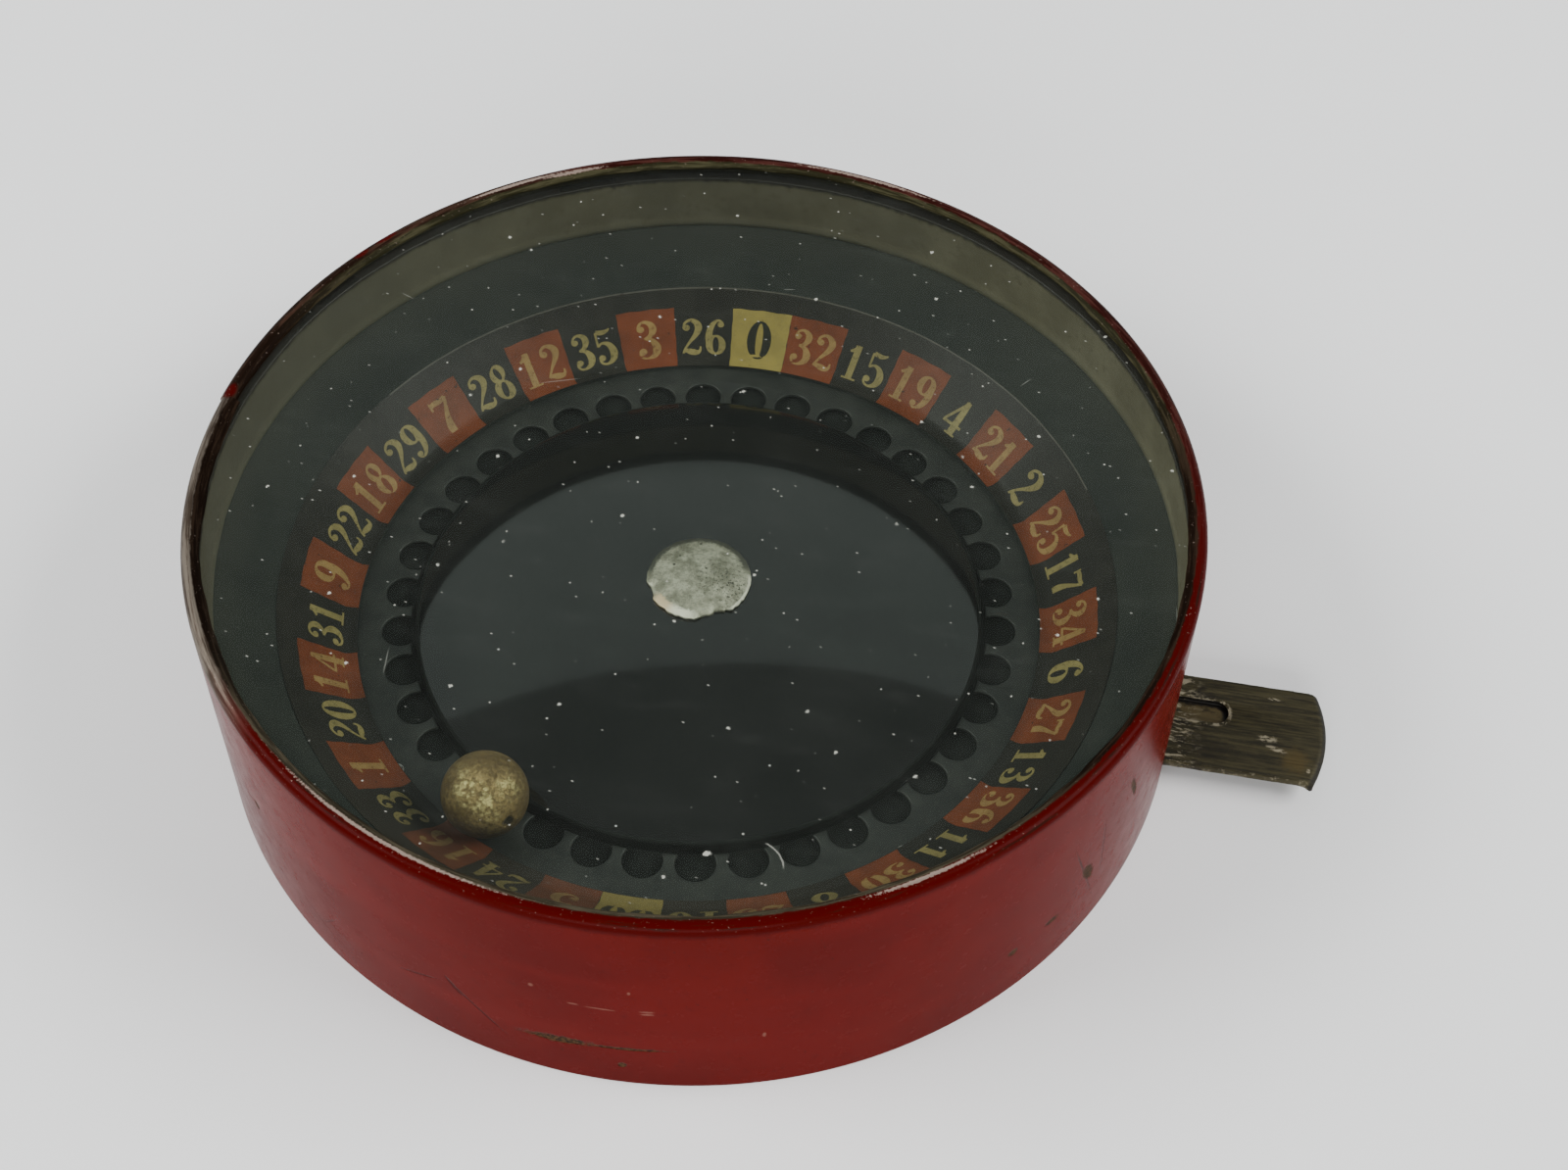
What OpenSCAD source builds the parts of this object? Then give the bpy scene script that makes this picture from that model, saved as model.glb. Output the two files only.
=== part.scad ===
// Pocket roulette: a tin drum with a glass top, a fixed numbered dish with a ring of
// pockets, a domed rotor that spins under it, and a push tab that drives the rotor
// through a rack, a pinion and a one-way pawl. Units are millimetres.
// The origin is the centre of the base's underside, +Z up, the push tab towards +X.

/* [Case] */
// Outside radius of the tin drum
case_r = 40; // [39.8:0.1:40.4]
// Height of the drum, from the base to the crest of the rim
case_h = 22.5; // [22.4:0.1:24]
// Thickness of the tin of the wall
wall_t = 0.35; // [0.3:0.05:0.4]
// Inner radius of the lip that holds the glass
lip_r = 38.5; // [38:0.1:38.8]
// Thickness of the glass
glass_t = 1.25; // [1:0.05:1.5]

/* [Dish and pockets] */
// Radius at which the sloping dish meets the wall
dish_r = 38.6; // [38.4:0.1:38.6]
// Height of the dish at the wall
dish_z = 15; // [14.5:0.1:16]
// Height of the dish's foot, at its inner edge
foot_z = 7.2; // [7.2:0.05:7.6]
// Inner radius of the dish and of the numbers
foot_r = 28.3; // [28.2:0.1:28.4]
// Outer radius of the printed number band
band_r = 34.2; // [33.5:0.1:35]
// How many pockets the ring has
pocket_n = 38; // [38:1:38]
// Angle of the first pocket, counter-clockwise from the tab
pocket_phase = 91.5; // [80:0.5:100]
// Radius of the teeth's tips
tooth_tip_r = 23.9; // [23.6:0.1:24.2]
// Distance of each pocket's bottom from the axis
pocket_root_r = 26.35; // [26.2:0.05:26.5]
// Radius of each pocket's round hole
pocket_hole_r = 1.6; // [1.5:0.05:1.65]

/* [Rotor and ball] */
// Outside radius of the spinning rotor
rotor_r = 27.2; // [27:0.1:27.3]
// Height of the top of the rotor's dome
dome_z = 11.1; // [10.8:0.1:11.1]
// Radius of the sphere that the dome is part of
dome_r = 80; // [76:1:80]
// Radius at which the dome steps down to the rotor's brim
dome_edge_r = 23.5; // [23.3:0.1:23.5]
// Radius of the hub cap
cap_r = 4.3; // [4:0.1:4.6]
// Radius of the loose ball
ball_r = 3.4; // [3.2:0.1:3.4]
// Distance of the ball's centre from the axis
ball_orbit_r = 26.2; // [26:0.1:26.4]

/* [Push tab] */
// Width of the tab
tab_w = 9.2; // [9:0.1:9.4]
// Distance from the axis to the tab's tip
tab_tip_x = 52.8; // [52:0.1:53.5]
// Thickness of the strip
strip_t = 0.6; // [0.5:0.05:0.7]
// How far the tab travels when pushed: five teeth of the ratchet
travel = 8.378; // [8.378:0.001:8.378]

/* [Drive] */
// Module of the rack and pinion
gear_m = 0.4; // [0.4:0.01:0.4]
// Teeth of the pinion
pinion_n = 16; // [16:1:16]
// Teeth of the ratchet wheel
ratchet_n = 12; // [12:1:12]
// Radius of the centre post
post_r = 1.5; // [1.4:0.05:1.5]
// Clearance all round a turning part
run_gap = 0.05; // [0.03:0.01:0.08]

/* [Hidden] */
fine = 96;
small = 32;

// The drum and its fillings
band_in_r = case_r - wall_t;
fill_r = band_in_r - 0.1;
rim_round = 0.8;
rim_steps = 6;
lip_drop = 0.35;
glass_top = case_h - lip_drop - wall_t;
glass_bottom = glass_top - glass_t;
pan_t = 0.35;
pan_rim_h = 1.2;
dish_t = 0.3;
foot_w = 0.9;
dish_slope = (dish_z - foot_z) / (dish_r - foot_r - foot_w);
band_t = 0.1;
ring_t = 0.3;
ring_top = foot_z - dish_t;
ring_out_r = 30;
hoop_t = 0.4;

// The pillars that carry the pocket ring
pillar_n = 4;
pillar_r = 1;
pillar_orbit_r = 28.6;
pillar_turn = 45;
tenon_r = 0.6;
tenon_gap = 0.02;

// The push strip, with the groove that the stop stud runs in
strip_z = 1.8;
strip_top = strip_z + strip_t;
wide_x = 25.2;
shoulder_run = 1.8;
shoulder_end = 3.3;
arm_x0 = -13;
arm_back_y = -6.8;
end_sag = 0.95;
end_arc_r = (pow(tab_w / 2, 2) + pow(end_sag, 2)) / (2 * end_sag);
end_arc_x = tab_tip_x - end_arc_r;
lip_t = 0.5;
lip_h = 0.4;
groove_half = 1.1;
groove_depth = 0.35;
groove_y = 1.15;
groove_out_x = 43.5;
stop_gap = 0.05;
stop_x = groove_out_x - travel - stop_gap;
groove_in_x = stop_x - stop_gap;
stop_r = groove_half - 0.1;
wall_slot_gap = 0.15;

// The gears
pitch_r = gear_m * pinion_n / 2;
gear_pitch = PI * gear_m;
pressure = 20;
base_circle_r = pitch_r * cos(pressure);
addendum = 0.9 * gear_m;
dedendum = 1.25 * gear_m;
backlash = 0.1;
rack_first = -2;
rack_last = 9;
rack_root_y = -pitch_r - dedendum;

// The guides of the strip and their rivets
front_y = [-tab_w / 2, tab_w / 2];
front_len = 3.6;
middle_x = 15.2;
middle_y = [arm_back_y, rack_root_y];
middle_len = 2;
guide_gap = 0.12;
strap_t = 0.35;
strap_low = strip_top + guide_gap;
foot_len = 3.2;
rivet_r = 0.6;
rivet_head_r = 1.1;
rivet_head_h = 0.35;

// The centre post and the heights of the drive, from the base up
post_tail_r = 1.1;
post_flange_r = 3;
flange_top = pan_t + 0.5;
washer_top = flange_top + 0.2;
pinion_z = washer_top + 0.05;
plate_z = 3.2;
plate_t = 0.4;
boss_top = plate_z + plate_t + 0.05;
tube_z = boss_top + 0.1;
ratchet_t = 0.5;
boss_r = 2;
tube_r = 2.4;
tube_tenon_r = 2;
tube_top = dome_z + 0.05;
dome_t = 0.3;
brim_gap = 0.3;
brim_z = ring_top - ring_t - brim_gap;
brim_fold = 0.8;
clip_z = tube_top + 0.05;
clip_t = 0.2;
clip_r = 2.2;
neck_r = 1.15;
post_top = clip_z + clip_t + 0.25;

// The pawl, drawn in mesh and then lifted about its pin
ratchet_tip_r = 3.7;
ratchet_root_r = 2.9;
pawl_orbit_r = 5.6;
pawl_angle = 45;
pawl_lift = 14;
pawl_t = 0.55;
pawl_pin_r = 0.5;
pawl_head_z = tube_z + pawl_t + 0.1;
pawl_x = pawl_orbit_r * cos(pawl_angle);
pawl_y = pawl_orbit_r * sin(pawl_angle);
plate_r = 6.8;

// The return spring
spring_y = -9.2;
spring_z = 2.6;
spring_r = 1.05;
spring_wire = 0.17;
spring_turns = 15;
stud_x = -9;
stud_r = 0.5;
stud_top = 3.2;
stud_head = 0.3;
ear_half = 2;
ear_lap = 1.2;
anchor_x = 13.2;
anchor_r = 0.7;
anchor_top = 3.6;
lead_len = 1.6;
lead_lean = 0.6;

// The pocket that the ball rests in, counted clockwise from the first
ball_pocket = 22;

tin = "gainsboro";
steel = [0.45, 0.45, 0.42];
brass = [0.72, 0.6, 0.3];

// Height of the rotor dome's top at radius r, on a sphere of radius s
function dome_h(r, s = dome_r) = dome_z - dome_r + sqrt(s * s - r * r);

// Height of the dish's upper face at radius r
function dish_h(r) = r < foot_r + foot_w ? foot_z : foot_z + (r - foot_r - foot_w) * dish_slope;

// Points on an arc about c from angle a0 to a1
function arc(c, r, a0, a1, n) = [for (i = [0:n]) let (a = a0 + (a1 - a0) * i / n)
    c + r * [cos(a), sin(a)]];

// Involute function of an angle, in degrees
function inv(a) = tan(a) * 180 / PI - a;

// Half the angle that a pinion tooth spans at radius r
function tooth_half(r) = 90 / pinion_n - backlash / 2 * 180 / PI / pitch_r + inv(pressure)
    - inv(acos(min(1, base_circle_r / max(r, base_circle_r))));

// A flat ring between two radii
module ring(r_in, r_out, z0, z1) {
    translate([0, 0, z0])
        difference() {
            cylinder(r = r_out, h = z1 - z0, $fn = fine);
            translate([0, 0, -1]) cylinder(r = r_in, h = z1 - z0 + 2, $fn = fine);
        }
}

// A round pin from z0 to z1
module pin(r, z0, z1) {
    translate([0, 0, z0]) cylinder(r = r, h = z1 - z0, $fn = small);
}

module at_pillars() {
    for (i = [0:pillar_n - 1])
        rotate(pillar_turn + i * 360 / pillar_n) translate([pillar_orbit_r, 0, 0]) children();
}

// Where the rivets of a strap over the span y0 to y1 stand
function rivet_ys(span) = [span[0] - guide_gap - strap_t - foot_len / 2,
    span[1] + guide_gap + strap_t + foot_len / 2];

module at_rivets() {
    for (y = rivet_ys(front_y)) translate([stop_x, y, 0]) children();
    for (y = rivet_ys(middle_y)) translate([middle_x, y, 0]) children();
}

// The opening that the push strip goes through, in the wall and in the hoop
module strip_opening(gap) {
    translate([30, -tab_w / 2 - gap, strip_z - gap])
        cube([20, tab_w + 2 * gap, strip_t + 2 * gap]);
}

module case_band() {
    rim_c = [case_r - rim_round, case_h - rim_round];
    color([0.6, 0.06, 0.04])
        difference() {
            rotate_extrude($fn = fine)
                polygon(concat(
                    [[band_in_r, 0], [case_r, 0]],
                    arc(rim_c, rim_round, 0, 90, rim_steps),
                    [[lip_r, case_h - lip_drop], [lip_r, case_h - lip_drop - wall_t]],
                    arc(rim_c, rim_round - wall_t, 90, 0, rim_steps)));
            strip_opening(wall_slot_gap);
        }
}

module base_pan() {
    color(tin)
        difference() {
            union() {
                cylinder(r = fill_r, h = pan_t, $fn = fine);
                ring(fill_r - wall_t, fill_r, 0, pan_rim_h);
            }
            pin(post_tail_r, -1, 1);
            at_pillars() pin(tenon_r + tenon_gap, -1, 1);
            at_rivets() pin(rivet_r + tenon_gap, -1, 1);
            translate([anchor_x, spring_y, 0]) pin(rivet_r + tenon_gap, -1, 1);
        }
}

module glass_pane() {
    color([0.75, 0.82, 0.78, 0.3])
        translate([0, 0, glass_bottom]) cylinder(r = fill_r, h = glass_t, $fn = fine);
}

module spacer_hoop() {
    color([0.36, 0.35, 0.27]) ring(dish_r, fill_r, dish_z, glass_bottom);
}

module number_dish() {
    color([0.2, 0.23, 0.22])
        rotate_extrude($fn = fine)
            polygon([[foot_r, foot_z], [foot_r, foot_z - dish_t],
                [foot_r + foot_w + dish_t / 3, foot_z - dish_t], [dish_r + dish_t / 3, dish_z - dish_t],
                [fill_r, dish_z - dish_t], [fill_r, dish_z], [dish_r, dish_z],
                [foot_r + foot_w, foot_z]]);
}

module number_band() {
    color([0.16, 0.16, 0.14])
        rotate_extrude($fn = fine)
            polygon([[foot_r, foot_z], [foot_r + foot_w, foot_z], [band_r, dish_h(band_r)],
                [band_r, dish_h(band_r) + band_t], [foot_r + foot_w, foot_z + band_t],
                [foot_r, foot_z + band_t]]);
}

// One pocket: a round hole, open towards the axis
module pocket() {
    translate([pocket_root_r - pocket_hole_r, 0, -1]) cylinder(r = pocket_hole_r, h = 2, $fn = small);
}

module pocket_ring() {
    color([0.38, 0.41, 0.36])
        translate([0, 0, ring_top - ring_t])
            difference() {
                ring(tooth_tip_r, ring_out_r, 0, ring_t);
                for (i = [0:pocket_n - 1]) rotate(pocket_phase + i * 360 / pocket_n) pocket();
                at_pillars() pin(tenon_r + tenon_gap, -1, 1);
            }
}

module support_hoop() {
    hoop_r = fill_r - wall_t - 0.05;
    color([0.45, 0.38, 0.28])
        difference() {
            ring(hoop_r - hoop_t, hoop_r, pan_t, dish_z - dish_t);
            strip_opening(2 * wall_slot_gap);
        }
}

module ring_pillars() {
    color(steel)
        at_pillars() {
            pin(pillar_r, pan_t, ring_top - ring_t);
            pin(tenon_r, 0, ring_top);
        }
}

module centre_post() {
    color(steel)
        difference() {
            union() {
                pin(post_r, flange_top, post_top);
                pin(post_flange_r, pan_t, flange_top);
                pin(post_tail_r - tenon_gap, 0, pan_t);
            }
            ring(neck_r, post_r + 1, clip_z, clip_z + clip_t);
        }
}

module thrust_washer() {
    color(brass) ring(post_r + run_gap, post_flange_r, flange_top, washer_top);
}

module retaining_clip() {
    color(steel)
        difference() {
            ring(neck_r + tenon_gap, clip_r, clip_z, clip_z + clip_t);
            translate([0, -neck_r, clip_z - 1]) cube([clip_r + 1, 2 * neck_r, 2]);
        }
}

// One block under the strip, from the base up to the strip
module guide_saddle(x, span, len) {
    translate([x - len / 2, span[0], pan_t])
        cube([len, span[1] - span[0], strip_z - guide_gap / 2 - pan_t]);
}

module guide_saddles() {
    color(steel) {
        guide_saddle(stop_x, front_y, front_len);
        guide_saddle(middle_x, middle_y, middle_len);
    }
}

// One bent strap over the strip, with a foot on each side
module guide_strap(x, span, len) {
    y0 = span[0] - guide_gap;
    y1 = span[1] + guide_gap;
    top = strap_low + strap_t;
    foot_top = pan_t + strap_t;
    translate([x + len / 2, 0, 0])
        rotate([90, 0, -90])
            linear_extrude(len)
                polygon([for (p = [[y0, pan_t], [y0, strap_low], [y1, strap_low], [y1, pan_t],
                    [y1 + strap_t + foot_len, pan_t], [y1 + strap_t + foot_len, foot_top],
                    [y1 + strap_t, foot_top], [y1 + strap_t, top],
                    [y0 - strap_t, top], [y0 - strap_t, foot_top],
                    [y0 - strap_t - foot_len, foot_top], [y0 - strap_t - foot_len, pan_t]])
                    [-p[0], p[1]]]);
}

module guide_straps() {
    color(steel)
        difference() {
            union() {
                guide_strap(stop_x, front_y, front_len);
                guide_strap(middle_x, middle_y, middle_len);
            }
            at_rivets() pin(rivet_r + tenon_gap, -1, 1);
            translate([stop_x, groove_y, 0]) pin(rivet_r + tenon_gap, strip_top, strip_top + 1);
        }
}

module strap_rivets() {
    color(brass)
        at_rivets() {
            pin(rivet_r, 0, pan_t + strap_t);
            pin(rivet_head_r, pan_t + strap_t, pan_t + strap_t + rivet_head_h);
        }
}

// The stud hangs from the front strap into the groove of the push strip
module stop_stud() {
    top = strap_low + strap_t;
    color(steel)
        translate([stop_x, groove_y, 0]) {
            pin(stop_r, strip_top - groove_depth + stop_gap, strap_low);
            pin(rivet_r, strip_top, top);
            pin(rivet_head_r, top, top + rivet_head_h);
        }
}

module spring_post() {
    color(steel)
        translate([anchor_x, spring_y, 0]) {
            pin(rivet_r, 0, pan_t);
            pin(anchor_r, pan_t, anchor_top);
        }
}

// Sweep a round section along the points p, whose section planes face along d
module tube(p, d, r, sides) {
    n = len(p);
    ring_at = function (k) let (t = d[k] / norm(d[k]), u0 = cross(t, [0, 0.3, 1]),
        u = u0 / norm(u0), v = cross(t, u))
        [for (j = [0:sides - 1]) p[k] + r * (cos(j * 360 / sides) * u + sin(j * 360 / sides) * v)];
    pts = [for (k = [0:n - 1]) for (q = ring_at(k)) q];
    faces = concat(
        [[for (j = [0:sides - 1]) sides - 1 - j]],
        [for (k = [0:n - 2]) for (j = [0:sides - 1])
            let (a = k * sides + j, b = k * sides + (j + 1) % sides) each
            [[a, b, b + sides], [a, b + sides, a + sides]]],
        [[for (j = [0:sides - 1]) (n - 1) * sides + j]]);
    polyhedron(points = pts, faces = faces);
}

// An extension spring along X, with a straight lead at each end
module return_spring() {
    x0 = stud_x + stud_r + spring_wire;
    x1 = anchor_x - anchor_r - spring_wire;
    coil = x1 - x0 - 2 * lead_len;
    steps = spring_turns * 14;
    on_coil = [for (i = [0:steps]) let (a = i / steps * spring_turns * 360 + 90)
        [x0 + lead_len + coil * i / steps, spring_y + spring_r * cos(a), spring_z + spring_r * sin(a)]];
    along = [for (i = [0:steps]) let (a = i / steps * spring_turns * 360 + 90)
        [coil / steps, -spring_r * sin(a) * spring_turns * 2 * PI / steps,
            spring_r * cos(a) * spring_turns * 2 * PI / steps]];
    p = concat([[x0, spring_y, spring_z], [x0 + lead_len / 2, spring_y, spring_z]], on_coil,
        [[x1 - lead_len / 2, spring_y, spring_z], [x1, spring_y, spring_z]]);
    d = concat([[1, 0, 0], [1, 0, lead_lean]], along, [[1, 0, -lead_lean], [1, 0, 0]]);
    color(steel) tube(p, d, spring_wire, 6);
}

// One tooth of the rack, centred on x
module rack_tooth(x) {
    lean = tan(pressure);
    half = gear_pitch / 4 - backlash / 2;
    translate([x, -pitch_r])
        polygon([[-half - lean * dedendum, -dedendum - 0.01],
            [half + lean * dedendum, -dedendum - 0.01],
            [half - lean * addendum, addendum], [-half + lean * addendum, addendum]]);
}

module strip_outline() {
    difference() {
        union() {
            translate([arm_x0, arm_back_y]) square([wide_x + 2 - arm_x0, rack_root_y - arm_back_y]);
            for (k = [rack_first:rack_last]) rack_tooth(k * gear_pitch);
            polygon([[wide_x, rack_root_y], [wide_x + shoulder_run, tab_w / 2],
                [end_arc_x, tab_w / 2], [end_arc_x, -tab_w / 2],
                [wide_x + shoulder_end, -tab_w / 2], [wide_x + shoulder_run, arm_back_y],
                [wide_x, arm_back_y]]);
            intersection() {
                translate([end_arc_x, 0]) circle(r = end_arc_r, $fn = fine);
                translate([end_arc_x - 1, -tab_w / 2]) square([end_arc_r + 2, tab_w]);
            }
            translate([stud_x - ear_half, spring_y - ear_lap])
                square([2 * ear_half, arm_back_y - spring_y + ear_lap + 0.1]);
        }
        translate([stud_x, spring_y]) circle(r = stud_r + tenon_gap, $fn = small);
    }
}

module groove_outline() {
    translate([groove_in_x, groove_y]) circle(r = groove_half, $fn = small);
    translate([groove_out_x, groove_y]) circle(r = groove_half, $fn = small);
    translate([groove_in_x, groove_y - groove_half])
        square([groove_out_x - groove_in_x, 2 * groove_half]);
}

module push_strip() {
    color([0.3, 0.28, 0.2]) {
        difference() {
            translate([0, 0, strip_z]) linear_extrude(strip_t) strip_outline();
            translate([0, 0, strip_top - groove_depth]) linear_extrude(strip_t) groove_outline();
        }
        // the turned-down lip at the tab's end
        translate([0, 0, strip_z - lip_h])
            linear_extrude(lip_h)
                intersection() {
                    difference() {
                        translate([end_arc_x, 0]) circle(r = end_arc_r, $fn = fine);
                        translate([end_arc_x, 0]) circle(r = end_arc_r - lip_t, $fn = fine);
                    }
                    translate([end_arc_x + 5, -tab_w / 2]) square([end_arc_r, tab_w]);
                }
    }
}

module spring_stud() {
    color(steel)
        translate([stud_x, spring_y, 0]) {
            pin(stud_r, strip_z, stud_top);
            pin(stud_r + stud_head, stud_top, stud_top + stud_head);
            pin(stud_r + stud_head, strip_z - stud_head, strip_z);
        }
}

module pinion_outline() {
    radii = [pitch_r - dedendum, base_circle_r, pitch_r, pitch_r + addendum / 2, pitch_r + addendum];
    last = len(radii) - 1;
    polygon([for (i = [0:pinion_n - 1]) let (a = (i + 0.5) * 360 / pinion_n) each concat(
        [for (k = [0:last]) let (r = radii[k], h = tooth_half(r)) r * [cos(a - h), sin(a - h)]],
        [for (k = [last:-1:0]) let (r = radii[k], h = tooth_half(r)) r * [cos(a + h), sin(a + h)]])]);
}

module drive_pinion() {
    color(brass)
        difference() {
            union() {
                translate([0, 0, pinion_z]) linear_extrude(plate_z - pinion_z) pinion_outline();
                pin(boss_r, plate_z - 0.2, boss_top);
            }
            pin(post_r + run_gap, 0, plate_z + 1);
        }
}

module driver_plate() {
    color(steel)
        difference() {
            ring(boss_r, plate_r, plate_z, plate_z + plate_t);
            translate([pawl_x, pawl_y, 0]) pin(pawl_pin_r, plate_z - 1, plate_z + 1);
        }
}

module pawl_pin() {
    color(brass)
        translate([pawl_x, pawl_y, 0]) {
            pin(pawl_pin_r, plate_z, pawl_head_z);
            pin(pawl_pin_r + 0.4, pawl_head_z, pawl_head_z + 0.3);
        }
}

// A curved leaf that stands on the driver plate, outside the pawl
module pawl_spring() {
    leaf_r = 6.45;
    leaf_t = 0.15;
    leaf_h = 0.6;
    leaf_from = -32;
    leaf_turn = 40;
    foot_turn = 6;
    foot = [0.8, 1.2, leaf_h];
    color(brass)
        translate([0, 0, plate_z + plate_t]) {
            rotate(leaf_from)
                rotate_extrude(angle = leaf_turn, $fn = fine)
                    translate([leaf_r, 0]) square([leaf_t, leaf_h]);
            rotate(leaf_from - foot_turn)
                translate([leaf_r + leaf_t + 0.05 - foot[0], -foot[1] / 3, 0]) cube(foot);
        }
}

module pawl() {
    nose_y = 0.04;
    outline = [[3.05, nose_y], [3.9, nose_y], [4.7, 1.2], [pawl_x + 0.9, pawl_y],
        [pawl_x, pawl_y + 0.9], [pawl_x - 0.9, pawl_y], [3.55, 1.9]];
    translate([pawl_x, pawl_y, tube_z])
        rotate(pawl_lift)
            translate([-pawl_x, -pawl_y, 0])
                color(steel)
                    difference() {
                        linear_extrude(pawl_t) polygon(outline);
                        translate([pawl_x, pawl_y, 0]) pin(pawl_pin_r + run_gap, -1, 1);
                    }
}

// The dome with a step down at its edge, a flat brim under the pockets and a turned-down fold
module rotor_dome() {
    steps = 18;
    inner = dome_r - dome_t;
    ease = 0.12;
    step_in_r = dome_edge_r - dome_t;
    color([0.07, 0.08, 0.08])
        rotate_extrude($fn = fine)
            polygon(concat(
                [for (i = [0:steps])
                    let (r = tube_tenon_r + (dome_edge_r - ease - tube_tenon_r) * i / steps)
                        [r, dome_h(r)]],
                [[dome_edge_r, dome_h(dome_edge_r) - ease], [dome_edge_r, brim_z], [rotor_r, brim_z],
                    [rotor_r, brim_z - brim_fold], [rotor_r - dome_t, brim_z - brim_fold],
                    [rotor_r - dome_t, brim_z - dome_t], [step_in_r, brim_z - dome_t]],
                [for (i = [0:steps]) let (r = step_in_r - (step_in_r - tube_tenon_r) * i / steps)
                    [r, dome_h(r, inner)]]));
}

module rotor_flange() {
    flange_r = 7;
    flange_t = 0.4;
    top = dome_h(flange_r, dome_r - dome_t) - 0.03;
    color(steel) ring(tube_r, flange_r, top - flange_t, top);
}

module hub_tube() {
    shoulder = dome_h(tube_r, dome_r - dome_t) - 0.02;
    color(brass)
        difference() {
            union() {
                pin(tube_r, tube_z, shoulder);
                pin(tube_tenon_r, tube_z, tube_top);
            }
            pin(post_r + run_gap, 0, dome_z + 1);
        }
}

module ratchet_wheel() {
    step = 360 / ratchet_n;
    rise = 5;
    color(steel)
        translate([0, 0, tube_z])
            difference() {
                linear_extrude(ratchet_t)
                    polygon([for (i = [0:ratchet_n - 1]) for (k = [0:rise])
                        let (a = i * step + step * k / rise,
                            r = ratchet_root_r + (ratchet_tip_r - ratchet_root_r) * k / rise)
                        r * [cos(a), sin(a)]]);
                pin(tube_r, -1, 1);
            }
}

module hub_cap() {
    cap_t = 0.2;
    cap_h = 0.9;
    skirt_z = dome_h(cap_r) + 0.02;
    skirt_h = 0.25;
    swell = 2.4;
    crown = dome_z + cap_h;
    steps = 8;
    color([0.75, 0.75, 0.7])
        rotate_extrude($fn = fine)
            polygon(concat(
                [[cap_r - cap_t, skirt_z], [cap_r, skirt_z]],
                [for (i = [0:steps]) let (f = i / steps) [cap_r * (1 - f),
                    skirt_z + skirt_h + (crown - skirt_z - skirt_h) * (1 - pow(1 - f, swell))]],
                [for (i = [0:steps]) let (f = 1 - i / steps) [(cap_r - cap_t) * (1 - f),
                    skirt_z + skirt_h - cap_t * 0.4
                        + (crown - cap_t * 0.6 - skirt_z - skirt_h) * (1 - pow(1 - f, swell))]]));
}

module ball() {
    rest_angle = pocket_phase - ball_pocket * 360 / pocket_n;
    color([0.6, 0.5, 0.25])
        rotate(rest_angle)
            translate([ball_orbit_r, 0, ring_top + ball_r + 0.05]) sphere(r = ball_r, $fn = fine);
}

case_band();
base_pan();
glass_pane();
spacer_hoop();
number_dish();
number_band();
pocket_ring();
support_hoop();
ring_pillars();
centre_post();
thrust_washer();
retaining_clip();
guide_saddles();
guide_straps();
strap_rivets();
stop_stud();
spring_post();
return_spring();
push_strip();
spring_stud();
drive_pinion();
driver_plate();
pawl_pin();
pawl_spring();
pawl();
rotor_dome();
rotor_flange();
hub_tube();
ratchet_wheel();
hub_cap();
ball();
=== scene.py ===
"""Looks for the pocket roulette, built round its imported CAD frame.

Lengths are in millimetres until a mesh is made. The studio is in metres.
"""

import math

import bmesh
import bpy
import numpy as np
from mathutils import Matrix, Vector, noise
from mathutils.geometry import tessellate_polygon


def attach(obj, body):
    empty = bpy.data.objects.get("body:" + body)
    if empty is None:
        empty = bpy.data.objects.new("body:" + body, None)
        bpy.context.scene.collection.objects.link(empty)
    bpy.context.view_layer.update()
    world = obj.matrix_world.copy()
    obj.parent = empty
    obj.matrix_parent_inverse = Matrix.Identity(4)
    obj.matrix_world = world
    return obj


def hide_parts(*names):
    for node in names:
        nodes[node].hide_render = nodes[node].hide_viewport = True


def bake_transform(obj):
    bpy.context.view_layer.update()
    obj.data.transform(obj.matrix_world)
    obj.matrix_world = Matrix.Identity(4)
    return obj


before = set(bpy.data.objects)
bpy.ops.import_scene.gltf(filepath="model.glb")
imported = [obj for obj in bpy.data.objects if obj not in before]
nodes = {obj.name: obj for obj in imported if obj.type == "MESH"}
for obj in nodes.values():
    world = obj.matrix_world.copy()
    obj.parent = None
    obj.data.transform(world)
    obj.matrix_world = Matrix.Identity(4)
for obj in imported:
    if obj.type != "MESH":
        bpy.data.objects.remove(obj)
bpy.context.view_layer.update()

MM = 0.001
PHOTO_TURN = math.radians(9.5)  # the tab's angle from the photograph's right

# Main sizes, as in the CAD
CASE_R, CASE_H = 40.0, 22.5
WALL_IN = 39.65
FILL_R = 39.55
GLASS_LOW, GLASS_TOP = 20.55, 21.8
DISH_R, DISH_Z = 38.6, 15.0
FOOT_IN, FOOT_OUT, FOOT_Z = 28.3, 29.2, 7.2
SLOPE = (DISH_Z - FOOT_Z) / (DISH_R - FOOT_OUT)
BAND_R, CELL_R = 34.2, 32.75
POCKETS = 38
PHASE = math.radians(91.5)
PITCH = 2 * math.pi / POCKETS
TIP_R, ROOT_R, HOLE_R = 23.9, 26.35, 1.6
RING_TOP = 6.9
DOME_Z, DOME_R, DOME_EDGE, ROTOR_R, BRIM_Z = 11.1, 80.0, 23.5, 27.2, 6.3
CAP_R = 4.3
BALL_R, BALL_ORBIT, BALL_Z = 3.4, 26.2, 10.35
BALL_POCKET = 22
TAB_HALF, TAB_TIP = 4.6, 52.8
STRIP_LOW, STRIP_TOP = 1.8, 2.4


# ---------------------------------------------------------------- shaders

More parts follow.
